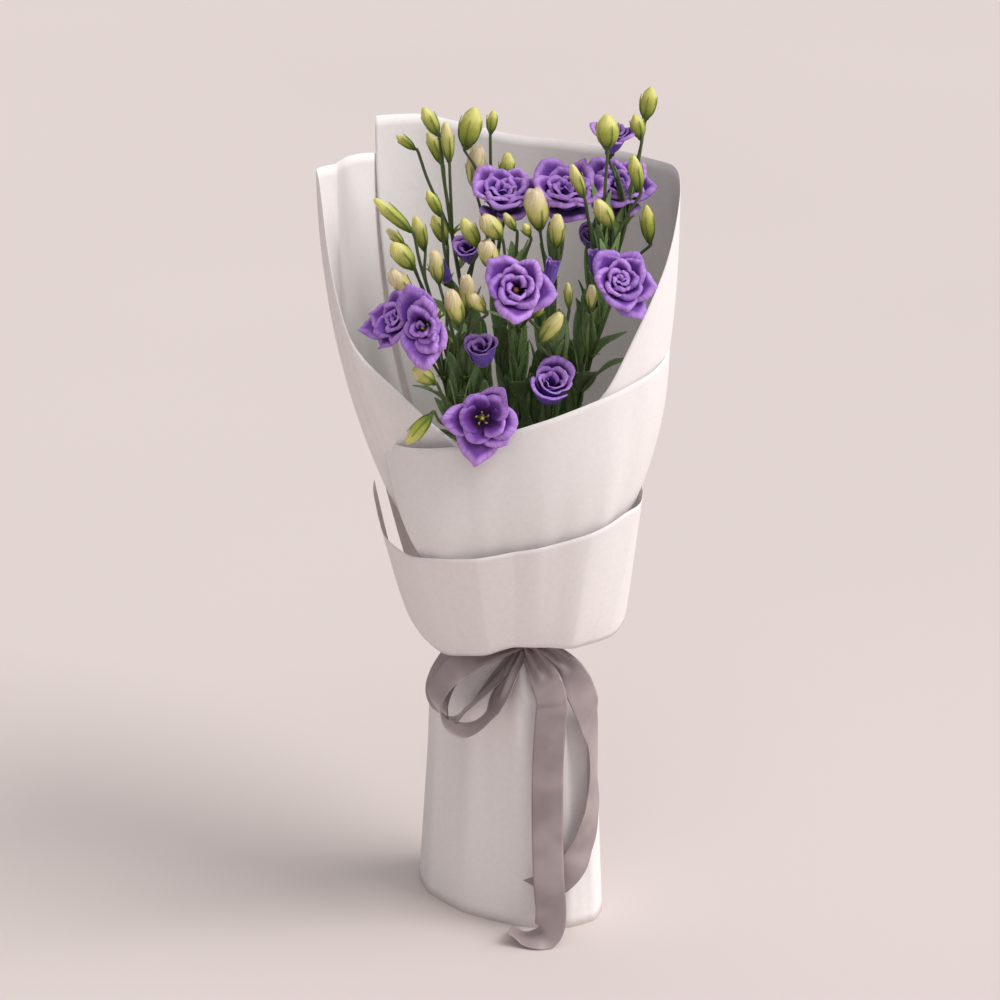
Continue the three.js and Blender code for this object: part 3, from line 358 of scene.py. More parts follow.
def untangle(sprays, paths):
    """Eases apart the stems that lie too near each other or too near a head."""
    heads = [head for spray in sprays for head in spray.heads]
    starts = np.cumsum([0] + [len(path.points) for path in paths])
    spots = np.vstack([path.points for path in paths])
    first = np.concatenate([np.arange(a, b - 1) for a, b in zip(starts, starts[1:])])
    inside = np.concatenate([np.arange(a + 1, b - 1) for a, b in zip(starts, starts[1:])])
    owner = np.repeat(np.arange(len(paths)), np.diff(starts) - 1)
    group = np.array([path.spray.number for path in paths])[owner]
    one, two = np.nonzero((owner[:, None] < owner[None]) & (group[:, None] != group[None]))
    own = np.array([[head is path.head or head.kind == "bud" and head.spray is path.spray
                     for head in heads] for path in paths])
    stretch, other = np.nonzero(~own[owner])
    ends = [np.array([head.ends[i] for head in heads])[other] for i in (0, 1)]
    room = np.array([head.room for head in heads])[other] + FORK_RADIUS + CLEARANCE
    roots = [(starts[p], starts[path.stem.number] + path.start)
             for p, path in enumerate(paths) if path.stem]
    for _ in range(ROUNDS):
        push = np.zeros_like(spots)
        near = np.abs(spots[first[one], 2] - spots[first[two], 2]) <= LAYER
        p, q = first[one[near]], first[two[near]]
        s, t, gap = nearest(spots[p], spots[p + 1], spots[q], spots[q + 1])
        short = 2 * FORK_RADIUS + CLEARANCE - np.linalg.norm(gap, axis=1)
        move = unit(gap) * 0.5 * np.maximum(short, 0)[:, None]
        for index, share, way in ((p, 1 - s, 1), (p + 1, s, 1), (q, 1 - t, -1), (q + 1, t, -1)):
            np.add.at(push, index, way * share[:, None] * move)
        p = first[stretch]
        s, _, gap = nearest(spots[p], spots[p + 1], *ends)
        move = unit(gap) * np.maximum(room - np.linalg.norm(gap, axis=1), 0)[:, None]
        np.add.at(push, p, (1 - s)[:, None] * move)
        np.add.at(push, p + 1, s[:, None] * move)
        even = 0.5 * (spots[inside - 1] + spots[inside + 1]) - spots[inside]
        spots[inside] = spots[inside] + push[inside] + SMOOTHING * even
        for root, parent in roots:
            spots[root] = spots[parent]
    for p, path in enumerate(paths):
        path.points = spots[starts[p]:starts[p + 1]]


sprays, paths = lay_out()
untangle(sprays, paths)

# The greenery: each spray's stem, its side stalks, the cup under each head, narrow sepals,
# the small bracts where stalks leave and the blue-green leaves. Stems are tubes along their
# routes; leaves, sepals and bracts are strips with a thickness. A strip is a grid of points.
STEM_SIDES, STEM_FINENESS = 10, 4
LEAF_THICK, LEAF_ROWS, LEAF_COLUMNS = 0.6, 17, 7
PAIR_HEIGHTS, LEFT_PAIRS, LEFT_SIDE = range(300, 560, 16), 11, -8
PAIR_LENGTH, PAIR_WIDTH, PAIR_TAPER, PAIR_TURN, SPRAY_TURN = 60, 17, 0.02, 67, 47
SEPAL_COUNT, SEPAL_WIDTH, SEPAL_ROWS = 5, 1.7, 12
BRACT_LENGTH, BRACT_WIDTH, BRACT_TURNS = 13, 2.6, (20, 200)
MERGE = 2e-6


def strip(points, tone=0.0, finish=0):
    rows, columns = points.shape[:2]
    across, along = np.meshgrid(np.linspace(0, 1, columns), np.linspace(0, 1, rows))
    return Item(points=points, uv=np.stack([across, along], 2), tone=tone, finish=finish)


def select_only(*objects):
    bpy.ops.object.select_all(action="DESELECT")
    for obj in objects:
        obj.select_set(True)
    bpy.context.view_layer.objects.active = objects[0]


def make_piece(name, strips, finishes, thickness=None, back=False):
    """Strips as one object. With no thickness they are closed skins, whose doubles merge."""
    spots, quads, uvs, tones, numbers, count = [], [], [], [], [], 0
    for one in strips:
        rows, columns = one.points.shape[:2]
        index = count + np.arange(rows * columns).reshape(rows, columns)
        quad = np.stack([index[:-1, :-1], index[:-1, 1:], index[1:, 1:], index[1:, :-1]], 2)
        quads.append(quad.reshape(-1, 4))
        spots.append(one.points.reshape(-1, 3))
        uvs.append(one.uv.reshape(-1, 2))
        tones.append(np.full(rows * columns, one.tone, float))
        numbers.append(np.full(len(quads[-1]), one.finish))
        count += rows * columns
    quads = np.vstack(quads)
    mesh = bpy.data.meshes.new(name)
    mesh.from_pydata(to_frame(np.vstack(spots)).tolist(), [], quads.tolist())
    mesh.uv_layers.new(name="weave").data.foreach_set("uv", np.vstack(uvs)[quads.ravel()].ravel())
    mesh.attributes.new("tone", "FLOAT", "POINT").data.foreach_set("value", np.concatenate(tones))
    mesh.polygons.foreach_set("material_index", np.concatenate(numbers).astype(np.int32))
    for finish in finishes:
        mesh.materials.append(finish.material)
    obj = bpy.data.objects.new(name, mesh)
    bpy.context.collection.objects.link(obj)
    select_only(obj)
    bpy.ops.object.shade_smooth()
    bpy.ops.object.mode_set(mode="EDIT")
    bpy.ops.mesh.select_all(action="SELECT")
    bpy.ops.mesh.remove_doubles(threshold=MERGE)
    if thickness is None:
        bpy.ops.mesh.normals_make_consistent(inside=False)
    bpy.ops.object.mode_set(mode="OBJECT")
    if thickness is not None:
        wall = obj.modifiers.new("wall", "SOLIDIFY")
        wall.thickness, wall.offset, wall.material_offset = thickness * MM, 0, int(back)
        bpy.ops.object.modifier_apply(modifier="wall")
    return obj


def curve(knots, slope, places):
    """Points of a curve through knots, with a slope at each; place 2 is the third knot."""
    k = np.clip(places.astype(int), 0, len(knots) - 2)
    t = (places - k)[..., None]
    return ((1 + 2 * t) * (1 - t)**2 * knots[k] + t * (1 - t)**2 * slope[k]
            + t**2 * (3 - 2 * t) * knots[k + 1] + t**2 * (t - 1) * slope[k + 1])


def along_knots(knots, places):
    """Points of a smooth curve through all the knots."""
    knots = np.asarray(knots, float)
    step = np.diff(knots, axis=0)
    slope = np.vstack([step[:1], 0.5 * (step[:-1] + step[1:]), step[-1:]])
    return curve(knots, slope, np.asarray(places, float))


def tube(path, radii, sides=STEM_SIDES, flat_start=False):
    """A closed round skin along a path."""
    path = np.asarray(path, float)
    along = unit(np.gradient(path, axis=0))
    if flat_start:
        along[0] = UP
    side = np.array([1.0, 0, 0])
    rings = []
    for point, way, radius in zip(path, along, radii):
        side = unit(side - (side @ way) * way)
        angle = np.linspace(0, 2 * math.pi, sides + 1)[:, None]
        rings.append(point + radius * (np.cos(angle) * side + np.sin(angle) * np.cross(way, side)))
    lid = [np.repeat(path[[i]], sides + 1, axis=0) for i in (0, -1)]
    return strip(np.array([lid[0], *rings, lid[1]]))


def stem_tube(points, radii, head, flat_start=False):
    """A stem with the cup of its head's calyx at the end."""
    if head.kind == "bud":
        ends = [[-4, STALK_RADIUS], [-1, 0.16 * head.width], [1.2, 0.26 * head.width]]
    else:
        ends = [[-7, STALK_RADIUS], [-4, 2.3], [-1.5, 3.2], [-0.01, 3.4]]
    knots = [[*point, radius] for point, radius in zip(points[:-1], radii[:-1])]
    knots += [[*(head.foot + past * head.along), radius] for past, radius in ends]
    line = along_knots(knots, np.linspace(0, len(knots) - 1, (len(knots) - 1) * STEM_FINENESS + 1))
    return tube(line[:, :3], line[:, 3], flat_start=flat_start)


def outward(angle):
    return np.array([math.cos(angle), math.sin(angle), 0])


def leaf_strip(root, bearing, length, width, tone, upright=0.0, finish=0):
    """A leaf that climbs and arches outwards, with raised and slightly wavy sides."""
    share, side = np.linspace(0, 1, LEAF_ROWS)[:, None], np.linspace(-1, 1, LEAF_COLUMNS)
    way = outward(math.radians(bearing))
    out = (1 - upright) * length * (0.42 * share + 0.3 * share**2)
    rise = (1 + 0.4 * upright) * length * (0.78 * share - 0.2 * share**2)
    half = np.maximum(0.5 * width * np.abs(np.sin(math.pi * share**0.8))**0.8, 0.35)
    wave = 0.06 * width * np.sin(9 * share + 7 * tone) * side**2 * np.sin(math.pi * share)
    lift = rise + 0.25 * half * np.abs(side)**0.8 + wave
    middle = root + out[..., None] * way
    points = middle + (half * side)[..., None] * np.cross(UP, way) + lift[..., None] * UP
    return strip(points, tone, finish)


def around(head, angle, radius, height):
    """A point beside a head's own axis, at an angle round it."""
    side = unit(np.cross(UP, head.along) + [1e-9, 0, 0])
    other = np.cross(head.along, side)
    angle, radius, height = [np.asarray(x, float)[..., None] for x in (angle, radius, height)]
    return head.foot + radius * (np.cos(angle) * side + np.sin(angle) * other) + height * head.along


def bud_radius(head, share):
    """Half the width of a bud at a share of its length; a ripe one is blunter."""
    blunt = head.ripe
    knots = [0.28, 0.56, 0.8, 0.94, 0.98, 0.84 + 0.1 * blunt, 0.54 + 0.26 * blunt,
             0.26 + 0.36 * blunt, 0.05 + 0.28 * blunt]
    return 0.5 * head.width * np.interp(share, [0, 0.09, 0.2, 0.36, 0.52, 0.68, 0.83, 0.93, 1], knots)


def sepal_strips(head):
    share = np.linspace(0, 1, SEPAL_ROWS)
    if head.kind == "bud":
        tall = np.linalg.norm(head.tip - head.foot)
        wide = min(SEPAL_WIDTH, 0.16 * head.width)
        height = -1 + (tall * (0.74 - 0.22 * head.ripe) + 1) * share
        radius = bud_radius(head, np.clip(height / tall, 0, 1)) + 0.25 + 1.1 * share**5
    else:
        wide = SEPAL_WIDTH
        height = -1.5 + 0.55 * head.depth * share**0.9
        radius = 3.3 + (0.5 + 0.24 * head.size) * share**1.3 + 1.5 * share**4
    half = 0.5 * wide * (1 - share**1.6) + 0.12
    side = np.array([-1, 0, 1])
    bow = radius[:, None] + 0.15 * (1 - side**2)
    strips = []
    for k in range(SEPAL_COUNT):
        angle = 2 * math.pi * (k + 0.35) / SEPAL_COUNT
        turn = angle + half[:, None] * side / np.maximum(radius, 2)[:, None]
        strips.append(strip(around(head, turn, bow, np.repeat(height[:, None], 3, 1)), 0.3 + 0.1 * k, 1))
    return strips


green_stem = Finish("green_stem", Roughness=0.5, Specular_IOR_Level=0.4)
across, along = green_stem.across_and_along()
streaks = green_stem.noise((across * 26, along * 3, 0), 1, 3)
patches = green_stem.noise(green_stem.place(), 38, 3)
skin_colour = green_stem.mix(patches.ease(0.35, 0.7), (80, 94, 54), (112, 126, 72))
green_stem.set(Base_Color=green_stem.mix(streaks.ease(0.35, 0.75), (66, 82, 50), skin_colour),
               Normal=green_stem.bump(streaks, 0.25, 0.0004))

green_leaf = Finish("green_leaf", Roughness=0.48, Specular_IOR_Level=0.45, Subsurface_Weight=0.08,
                    Subsurface_Radius=(0.002, 0.003, 0.001))
across, along = green_leaf.across_and_along()
middle = abs(across - 0.5)
rib = 1 - middle.ease(0.0, 0.07)
veins = green_leaf.noise((middle * 9 + along * 5, along * 11 - middle * 14, green_leaf.tone() * 9), 1.4, 2)
dusting = green_leaf.noise(green_leaf.place(), 70, 4)
leaf_colour = green_leaf.mix(veins.ease(0.42, 0.62), (110, 132, 84), (138, 168, 104))
leaf_colour = green_leaf.mix(dusting.ease(0.45, 0.75), leaf_colour, (138, 162, 116))
green_leaf.set(Base_Color=green_leaf.mix(rib * 0.6, leaf_colour, (120, 142, 88)),
               Normal=green_leaf.bump(veins - rib * 0.5, 0.35, 0.0005))

calyx_green = Finish("calyx_green", Roughness=0.5, Specular_IOR_Level=0.35)
across, along = calyx_green.across_and_along()
calyx_green.set(Base_Color=calyx_green.mix(along.ease(0.1, 0.9), (82, 108, 36), (140, 156, 62)))

for spray in sprays:
    stem, number = spray.stem, spray.number
    share = np.array([0, 0.4, 0.75, 1])
    out = spray.radius * (BUNDLE_SPREAD + (1 - BUNDLE_SPREAD) * share**0.8)
    turned = spray.angle + BUNDLE_TWIST * (1 - share)
    foot = np.stack([TIE_X + out * np.cos(turned), out * np.sin(turned), share * TIE_BOTTOM], 1)
    line = np.vstack([foot, stem.points])
    radii = np.interp(np.arange(len(line)), [0, len(foot) + spray.fork_index, len(line) - 1],
                      [STEM_RADIUS, FORK_RADIUS, STALK_RADIUS])
    tubes = [stem_tube(line, radii, stem.head, flat_start=True)]
    blades = []
    for stalk in spray.stalks:
        points = stalk.points
        tubes.append(stem_tube(points, [STALK_RADIUS] * len(points), stalk.head))
        facing = math.degrees(math.atan2(*(points[1] - points[0])[1::-1]))
        for turn in BRACT_TURNS:
            blades.append(leaf_strip(points[0], facing + turn, BRACT_LENGTH, BRACT_WIDTH, 0.2, finish=1))
    for k, (height, *leaf) in enumerate(spray.leaves):
        root = next(point for point in stem.points if point[2] > height)
        blades.append(leaf_strip(root, *leaf, 0.13 * k + 0.4))
    for k, height in enumerate(PAIR_HEIGHTS[:LEFT_PAIRS if spray.out[0] < LEFT_SIDE else None]):
        if height > stem.points[-1][2] - PAIR_LENGTH:
            break
        root = next(point for point in stem.points if point[2] > height)
        width = PAIR_WIDTH - PAIR_TAPER * (height - PAIR_HEIGHTS[0])
        for side in (0, 180):
            size = 1 - 0.1 * math.sin(5 * k + side + number)
            bearing = PAIR_TURN * k + side + SPRAY_TURN * number
            blades.append(leaf_strip(root, bearing, size * PAIR_LENGTH, size * width, 0.1 * k, 0.8))
    for head in spray.heads:
        blades += sepal_strips(head)
    stems = make_piece(f"stems_{spray.name}", tubes, [green_stem])
    leaves = make_piece(f"leaves_{spray.name}", blades, [green_leaf, calyx_green], LEAF_THICK)
    for part in (stems, leaves):
        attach(part, "root")
    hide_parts(f"spray_{spray.name}")

# The buds: closed bells of five petals that wind round each other to a twisted point.
# Young ones are green; ripe ones turn cream and open a little at the tip. Each is one
# closed skin, with a step where each petal's free edge lies on the next.
BUD_ROWS, BUD_PETALS = 24, 5
BUD_SHARES = [0, 0.03, 0.18, 0.36, 0.54, 0.72, 0.88, 0.975]
BUD_STEP, BUD_TWIST = 0.17, 1.7


def bud_strip(head, turn):
    length = np.linalg.norm(head.tip - head.foot)
    share = np.linspace(0, 1, BUD_ROWS)[:, None]
    across = np.array([*BUD_SHARES * BUD_PETALS, 0])[None]
    petal = np.array([*np.repeat(np.arange(BUD_PETALS), len(BUD_SHARES)), BUD_PETALS])[None]
    angle = turn + 2 * math.pi * (petal + across) / BUD_PETALS + BUD_TWIST * share**1.4
    step = BUD_STEP * (0.35 + 0.65 * share) * (across - 0.5 - 0.12 * np.sin(math.pi * across))
    radius = bud_radius(head, share) * (1 + step)
    radius[[0, -1]] = 0
    height = length * share + 0 * angle
    torn = head.ripe * share**8 * np.sin(3 * angle + turn)
    radius = radius * (1 + 0.16 * torn)
    height = height + 0.9 * torn * np.cos(2 * angle)
    height[-2] += 0.35 * head.ripe * (across[0] - 0.5)
    height[-1] = length * (0.985 - 0.1 * head.ripe)
    one = strip(around(head, angle, radius + 0 * angle, height), head.ripe)
    one.uv = np.stack([across + 0 * angle, share + 0 * angle], 2)
    return one


bud_skin = Finish("bud_skin", Roughness=0.42, Specular_IOR_Level=0.4, Subsurface_Weight=0.12,
                  Subsurface_Radius=(0.003, 0.003, 0.0015))
across, along = bud_skin.across_and_along()
ripe = bud_skin.tone()
streaks = bud_skin.noise((across * 9, along * 1.4, ripe * 7), 1.6, 3)
young = bud_skin.mix(along.ease(0.0, 0.45), (100, 116, 44), (168, 174, 74))
young = bud_skin.mix(along.ease(0.4, 0.85), young, (220, 214, 122))
cream = bud_skin.mix(along.ease(0.05, 0.4), (156, 162, 66), (222, 212, 130))
cream = bud_skin.mix(along.ease(0.35, 0.9), cream, (238, 218, 182))
flush = bud_skin.mix(streaks.ease(0.42, 0.7) * along.ease(0.3, 1.0) * 0.5, cream, (176, 136, 160))
bud_colour = bud_skin.mix(ripe.ease(0.2, 0.9), young, flush)
bud_skin.set(Base_Color=bud_skin.mix(streaks.ease(0.4, 0.75) * 0.3, bud_colour, (132, 146, 46)),
             Normal=bud_skin.bump(streaks, 0.2, 0.0004))

for spray in sprays:
    heads = [head for head in spray.heads if head.kind == "bud"]
    strips = [bud_strip(head, 1.3 * k) for k, head in enumerate(heads)]
    buds = make_piece(f"buds_{spray.name}", strips, [bud_skin])
    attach(buds, "root")

# The blooms: double lisianthus, whose broad thin petals overlap, ruffle and roll out at the
# rim, violet on the face and bluer on the back. Each petal is a strip with a thickness
# that leaves the heart and bends outwards, and the full blooms wind their petals in a spiral.
PETAL_THICK, PETAL_TURN = 0.35, 137.5
LARGE, LARGE_GRID, SMALL_GRID = 18, (28, 21), (22, 15)
# A petal is its span in degrees, its length as a share of the bloom's radius, how far its
# tip is drawn out, its root's distance from the axis, and its slope in degrees at the root,
# the wall, the shoulder and the rim. A spiral is a number of petals between such rows.
SPIRALS = {
    "rose": (17, [(118, 1.22, 0.2, 3, 52, 44, 36, -40), (120, 1.14, 0.18, 3, 58, 56, 52, -60),
                  (124, 1.05, 0.14, 3, 62, 68, 66, -70), (134, 0.98, 0.1, 2.4, 66, 80, 78, -60),
                  (150, 0.92, 0.05, 1.6, 70, 88, 88, -30), (190, 0.84, 0, 0.8, 72, 93, 92, 30)]),
    "eye": (13, [(122, 1.24, 0.22, 3, 55, 46, 36, -40), (124, 1.14, 0.2, 3, 58, 60, 56, -70),
                 (130, 1.05, 0.12, 3, 62, 75, 74, -80), (146, 0.98, 0.08, 3, 66, 90, 90, -60)]),
    "frill": (17, [(116, 1.9, 0.16, 3, 34, 54, 54, -40), (122, 1.72, 0.12, 3, 46, 68, 64, -60),
                   (134, 1.54, 0.08, 2.4, 58, 80, 76, -50), (160, 1.4, 0.04, 0.6, 70, 92, 88, 0)]),
    "cup": (8, [(132, 1.76, 0.05, 3, 26, 66, 90, 20), (142, 1.68, 0.05, 3, 34, 76, 94, 10),
                (185, 1.5, 0, 2, 52, 86, 96, 30)]),
    "far": (13, [(104, 1.75, 0.3, 3, 46, 44, 32, -30), (118, 1.6, 0.2, 3, 54, 60, 48, -60),
                 (150, 1.35, 0.08, 2, 62, 78, 70, -40), (210, 1.15, 0, 1, 72, 92, 88, 10)]),
    "tight": (6, [(150, 2.3, 0.06, 3, 50, 88, 94, 76), (190, 2.3, 0.05, 2, 64, 90, 96, 86)]),
}
# How far a petal's rim waves in degrees of slope, how far one side of it lies under the
# other, and where its lip starts to roll.
RIMS = {"rose": (9, 2.2, 0.83), "eye": (7, 2.4, 0.82), "frill": (17, 1.6, 0.84), "cup": (5, 1.6, 0.86),
        "far": (14, 1.6, 0.82), "tight": (4, 1, 0.8), "open": (6, 1.4, 0.74)}
# Outer petals of some blooms that reach further than the rest, each with the way it points.
REACHING = {
    "left_far": [(150, 88, 1.8, 0.5, 3, 44, 34, 20, -10), (200, 96, 1.36, 0.3, 3, 44, 40, 26, -10)],
    "top_left": [(250, 110, 1.36, 0.1, 3, 38, 48, 20, -60), (306, 104, 1.36, 0.1, 3, 38, 48, 24, -50)],
    "top_mid": [(284, 120, 1.4, 0.12, 3, 38, 46, 16, -60), (226, 108, 1.36, 0.1, 3, 38, 48, 20, -50)],
    "top_right": [(246, 112, 1.36, 0.1, 3, 38, 48, 20, -60), (300, 108, 1.36, 0.1, 3, 38, 48, 22, -50)],
    "top_pale": [(190, 120, 2.1, 0.12, 3, 42, 66, 62, -40), (350, 120, 2.0, 0.12, 3, 42, 68, 62, -40),
                 (270, 110, 1.8, 0.1, 3, 42, 66, 60, -50)],
    "low_right": [(250, 150, 2.1, 0.06, 3, 24, 58, 82, 10), (70, 150, 2.1, 0.06, 3, 24, 60, 84, 10)],
    "right": [(128, 96, 1.24, 0.16, 3, 50, 46, 40, -10), (66, 96, 1.2, 0.16, 3, 50, 50, 46, 0),
              (312, 84, 1.18, 0.24, 3, 44, 32, 10, -30)],
}
# The two open blooms have all their petals listed in the same way.
PETALS = {
    "front": [
        (262, 118, 1.12, 0.3, 3, 50, 30, 10, -30), (188, 84, 1.1, 0.2, 3, 50, 42, 32, -10),
        (120, 96, 0.96, 0.08, 3, 54, 56, 52, 10), (62, 92, 1.2, 0.1, 3, 52, 48, 50, 40),
        (352, 96, 1.04, 0.1, 3, 52, 46, 38, -20), (310, 84, 1.0, 0.1, 3, 50, 42, 34, -20),
        (40, 100, 1.12, 0.06, 3, 46, 62, 62, -20), (118, 110, 1.08, 0.04, 3, 46, 64, 62, -80),
        (258, 116, 1.02, 0.08, 3, 42, 56, 54, -110), (340, 124, 1.04, 0.04, 3, 42, 66, 66, -110),
        (186, 124, 1.04, 0.04, 3, 42, 66, 62, -120)],
    "left_tall": [
        (92, 116, 1.14, 0.3, 3, 50, 50, 42, -10), (272, 112, 1.06, 0.34, 3, 50, 46, 36, -20),
        (318, 104, 0.94, 0.2, 3, 52, 52, 44, -30), (228, 104, 0.88, 0.14, 3, 52, 52, 44, -30),
        (182, 110, 0.7, 0.1, 3, 52, 66, 58, -60), (2, 120, 0.8, 0.1, 3, 54, 66, 60, -40),
        (70, 100, 1.0, 0.22, 3, 54, 62, 56, -30), (286, 104, 0.96, 0.28, 3, 54, 60, 52, -40),
        (182, 136, 0.74, 0.12, 3, 48, 74, 66, -100), (298, 116, 0.84, 0.18, 3, 50, 72, 64, -90),
        (0, 136, 0.8, 0.08, 3, 54, 78, 72, -80), (92, 120, 0.96, 0.2, 3, 54, 76, 72, -40),
        (204, 150, 0.7, 0.1, 2.6, 58, 86, 84, -70), (290, 160, 0.7, 0.1, 2.4, 60, 90, 88, -40),
        (100, 180, 0.68, 0.04, 1.6, 66, 94, 96, 20)],
}


def spiral(form):
    count, rows = SPIRALS[form]
    rows = np.array(rows)
    places = np.linspace(0, len(rows) - 1, count)
    return [(k * PETAL_TURN, *[np.interp(place, range(len(rows)), column) for column in rows.T])
            for k, place in enumerate(places)]


def petal_strip(head, petal, dice):
    way, span, length, point, root, *slopes = petal
    rows, columns = LARGE_GRID if head.size > LARGE else SMALL_GRID
    v, u = np.linspace(0, 1, rows)[:, None], np.linspace(-1, 1, columns)[None]
    length = length * head.size * dice.uniform(0.95, 1.05)
    phase = dice.uniform(0, 2 * math.pi, 5)
    away = np.abs(u - dice.uniform(-0.15, 0.15))
    drawn = point + dice.uniform(0, 0.04)
    outline = (1 - 0.2 * np.abs(u)**3 + drawn * (np.maximum(0, 1 - away)**1.3 - 0.25)
               + 0.3 * point * np.exp(-(away / 0.09)**2)
               + 0.018 * np.sin(6 * u + phase[0]) + 0.005 * np.sin(15 * u + phase[3]))
    share = v * outline
    frill, tuck, lip = RIMS[head.form]
    slope = np.interp(v + 0 * u, [0, 0.3, lip, 1], slopes)
    slope = slope + v**4 * frill * (np.sin(4.6 * u + phase[1]) + 0.5 * np.sin(9.5 * u + phase[2]))
    slope = np.radians(slope)
    step = length * np.diff(share, axis=0, prepend=0)
    out = root + np.cumsum(np.cos(slope) * step, axis=0)
    rise = 1 + np.cumsum(np.sin(slope) * step, axis=0)
    bow = length * (dice.uniform(-0.05, 0.02) * share**2 * u**2 - 0.022 * share * np.exp(-(u / 0.13)**2)
                    + 0.006 * share**8 * np.sin(13 * u + phase[3])) - tuck * u * np.minimum(share, 0.8)
    out, rise = out - np.sin(slope) * bow, rise + np.cos(slope) * bow
    spread = np.minimum(1, 0.6 + 0.8 * share)
    angle = np.radians(way + 0.5 * span * spread * u) + 0.05 * np.sin(phase[4])
    out = out * (1 - 0.16 * share * u**2)
    points = np.stack([out * np.cos(angle), out * np.sin(angle), rise], 2)
    return strip(on_head(head, points), dice.uniform(0, 1))


def on_head(head, points):
    """Points drawn with the flower looking straight up, turned the way that it faces."""
    turn = Vector(UP).rotation_difference(Vector(head.along)).to_matrix()
    return head.foot + SEAT_GAP * head.along + points @ np.array(turn).T


def petal_finish(name, roughness, sheen_roughness, tint):
    """The skin of one side of the petals, with the direction along them and their veins."""
    finish = Finish(name, Roughness=roughness, Specular_IOR_Level=0.25, Sheen_Weight=0.12,
                    Sheen_Roughness=sheen_roughness, Sheen_Tint=tint, Subsurface_Weight=0.08,
                    Subsurface_Radius=(0.002, 0.001, 0.004))
    across, along = finish.across_and_along()
    return finish, along, finish.noise((abs(across - 0.5) * 16, along * 1.3, finish.tone() * 9), 1.5, 4)


petal_back, along, veins = petal_finish("petal_back", 0.55, 0.4, (0.75, 0.7, 1))
colour = petal_back.mix(veins.ease(0.3, 0.7), (92, 66, 156), (128, 98, 186))
colour = petal_back.mix(along.ease(0.02, 0.35), (150, 140, 176), colour)
petal_back.set(Base_Color=petal_back.mix(petal_back.tone() * 0.4, colour, (116, 72, 184)),
               Normal=petal_back.bump(veins, 0.35, 0.0005))

petal_face, along, veins = petal_finish("petal_face", 0.5, 0.35, (0.85, 0.7, 1))
# The face is darkest where the petal leaves the heart and grows lighter along it: painted shade, the shade
# that falls deep in the bloom between its petals.
colour = petal_face.mix(along.ease(0.3, 0.8), (88, 42, 106), (122, 68, 162))
# The pale mauve at the rim, where the lip rolls out, is a painted highlight.
colour = petal_face.mix(along.ease(0.74, 0.9), colour, (197, 149, 227))
colour = petal_face.mix(veins.ease(0.35, 0.75) * 0.45, colour, (92, 48, 136))
petal_face.set(Base_Color=petal_face.mix(petal_face.tone() * 0.32, colour, (102, 64, 176)),
               Normal=petal_face.bump(veins, 0.4, 0.0006))

blooms = [head for spray in sprays for head in spray.heads if head.kind == "bloom"]
for number, head in enumerate(blooms):
    dice = np.random.default_rng(number + 3)
    listed = PETALS.get(head.name) or REACHING.get(head.name, []) + spiral(head.form)
    strips = [petal_strip(head, petal, dice) for petal in listed]
    petals = make_piece(f"petals_{head.name}", strips, [petal_back, petal_face], PETAL_THICK, back=True)
    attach(petals, "root")
    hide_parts(f"bloom_{head.name}")

# The hearts of the two open blooms: a green pistil with a two-lobed yellow stigma, and
# five thin threads that carry yellow anthers. All are closed skins turned on an axis.
PISTIL = [(3, 0), (3, 1.6), (5, 1.9), (7, 1.5), (8.5, 0.6), (10.5, 0.5), (11.2, 1.1), (12, 1.5),
          (12.8, 1.0), (13, 0)]
ANTHER_COUNT, ANTHER_LENGTH, ANTHER_WIDTH, ANTHER_STEPS = 5, 2.8, 1.5, 9
THREAD_RADIUS, THREAD_STEPS = 0.22, 10
POST_SIDES, THREAD_SIDES, ANTHER_SIDES = 14, 6, 8


def grainy(name, dark, light):
    finish = Finish(name, Roughness=0.6)
    grain = finish.noise(finish.place(), 900, 3)
    finish.set(Base_Color=finish.mix(grain.ease(0.35, 0.7), dark, light))
    return finish


def post(profile, steps):
    """A closed skin round a bloom's axis, through pairs of height and radius."""
    height, radius = along_knots(profile, np.linspace(0, len(profile) - 1, steps)).T
    return tube(np.outer(height, UP), np.maximum(radius, 0), POST_SIDES)


heart_finish = grainy("heart", (176, 168, 62), (222, 204, 96))
for head in blooms:
    if head.form != "open":
        continue
    pieces = [post(PISTIL, 28)]
    for k in range(ANTHER_COUNT):
        angle = 2 * math.pi * k / ANTHER_COUNT + 0.4
        way = outward(angle)
        thread = [out * way + height * UP for out, height in ((0.8, 4), (2.2, 7), (4.0, 9.5), (4.6, 11))]
        thread = along_knots(thread, np.linspace(0, 3, THREAD_STEPS))
        pieces.append(tube(thread, [THREAD_RADIUS] * THREAD_STEPS, THREAD_SIDES))
        lean = ANTHER_LENGTH * unit(0.5 * way + np.cross(UP, way) * 0.4 + 0.8 * UP)
        bag = thread[-1] + np.outer(np.linspace(-0.5, 0.5, ANTHER_STEPS), lean)
        girth = np.sin(np.linspace(0.25, math.pi - 0.25, ANTHER_STEPS))**0.6
        pieces.append(tube(bag, 0.5 * ANTHER_WIDTH * girth, ANTHER_SIDES))
    for piece in pieces:
        piece.points = on_head(head, piece.points)
    heart = make_piece(f"heart_{head.name}", pieces, [heart_finish])
    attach(heart, "root")
    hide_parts(f"stamens_{head.name}")

# The centre rose shows the tip of its pistil deep in its throat: a small amber cushion on a
# short green neck, one closed skin.
STIGMA = [(2, 0), (2, 1.6), (8, 1.4), (12, 1.1), (13, 1.9), (14.4, 2.2), (15.6, 1.5), (15.9, 0)]
stigma_finish = grainy("stigma", (168, 96, 48), (214, 148, 78))
neck = post(STIGMA, 30)
neck.points = on_head(next(head for head in blooms if head.name == "centre"), neck.points)
stigma = make_piece("stigma_centre", [neck], [stigma_finish])
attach(stigma, "root")

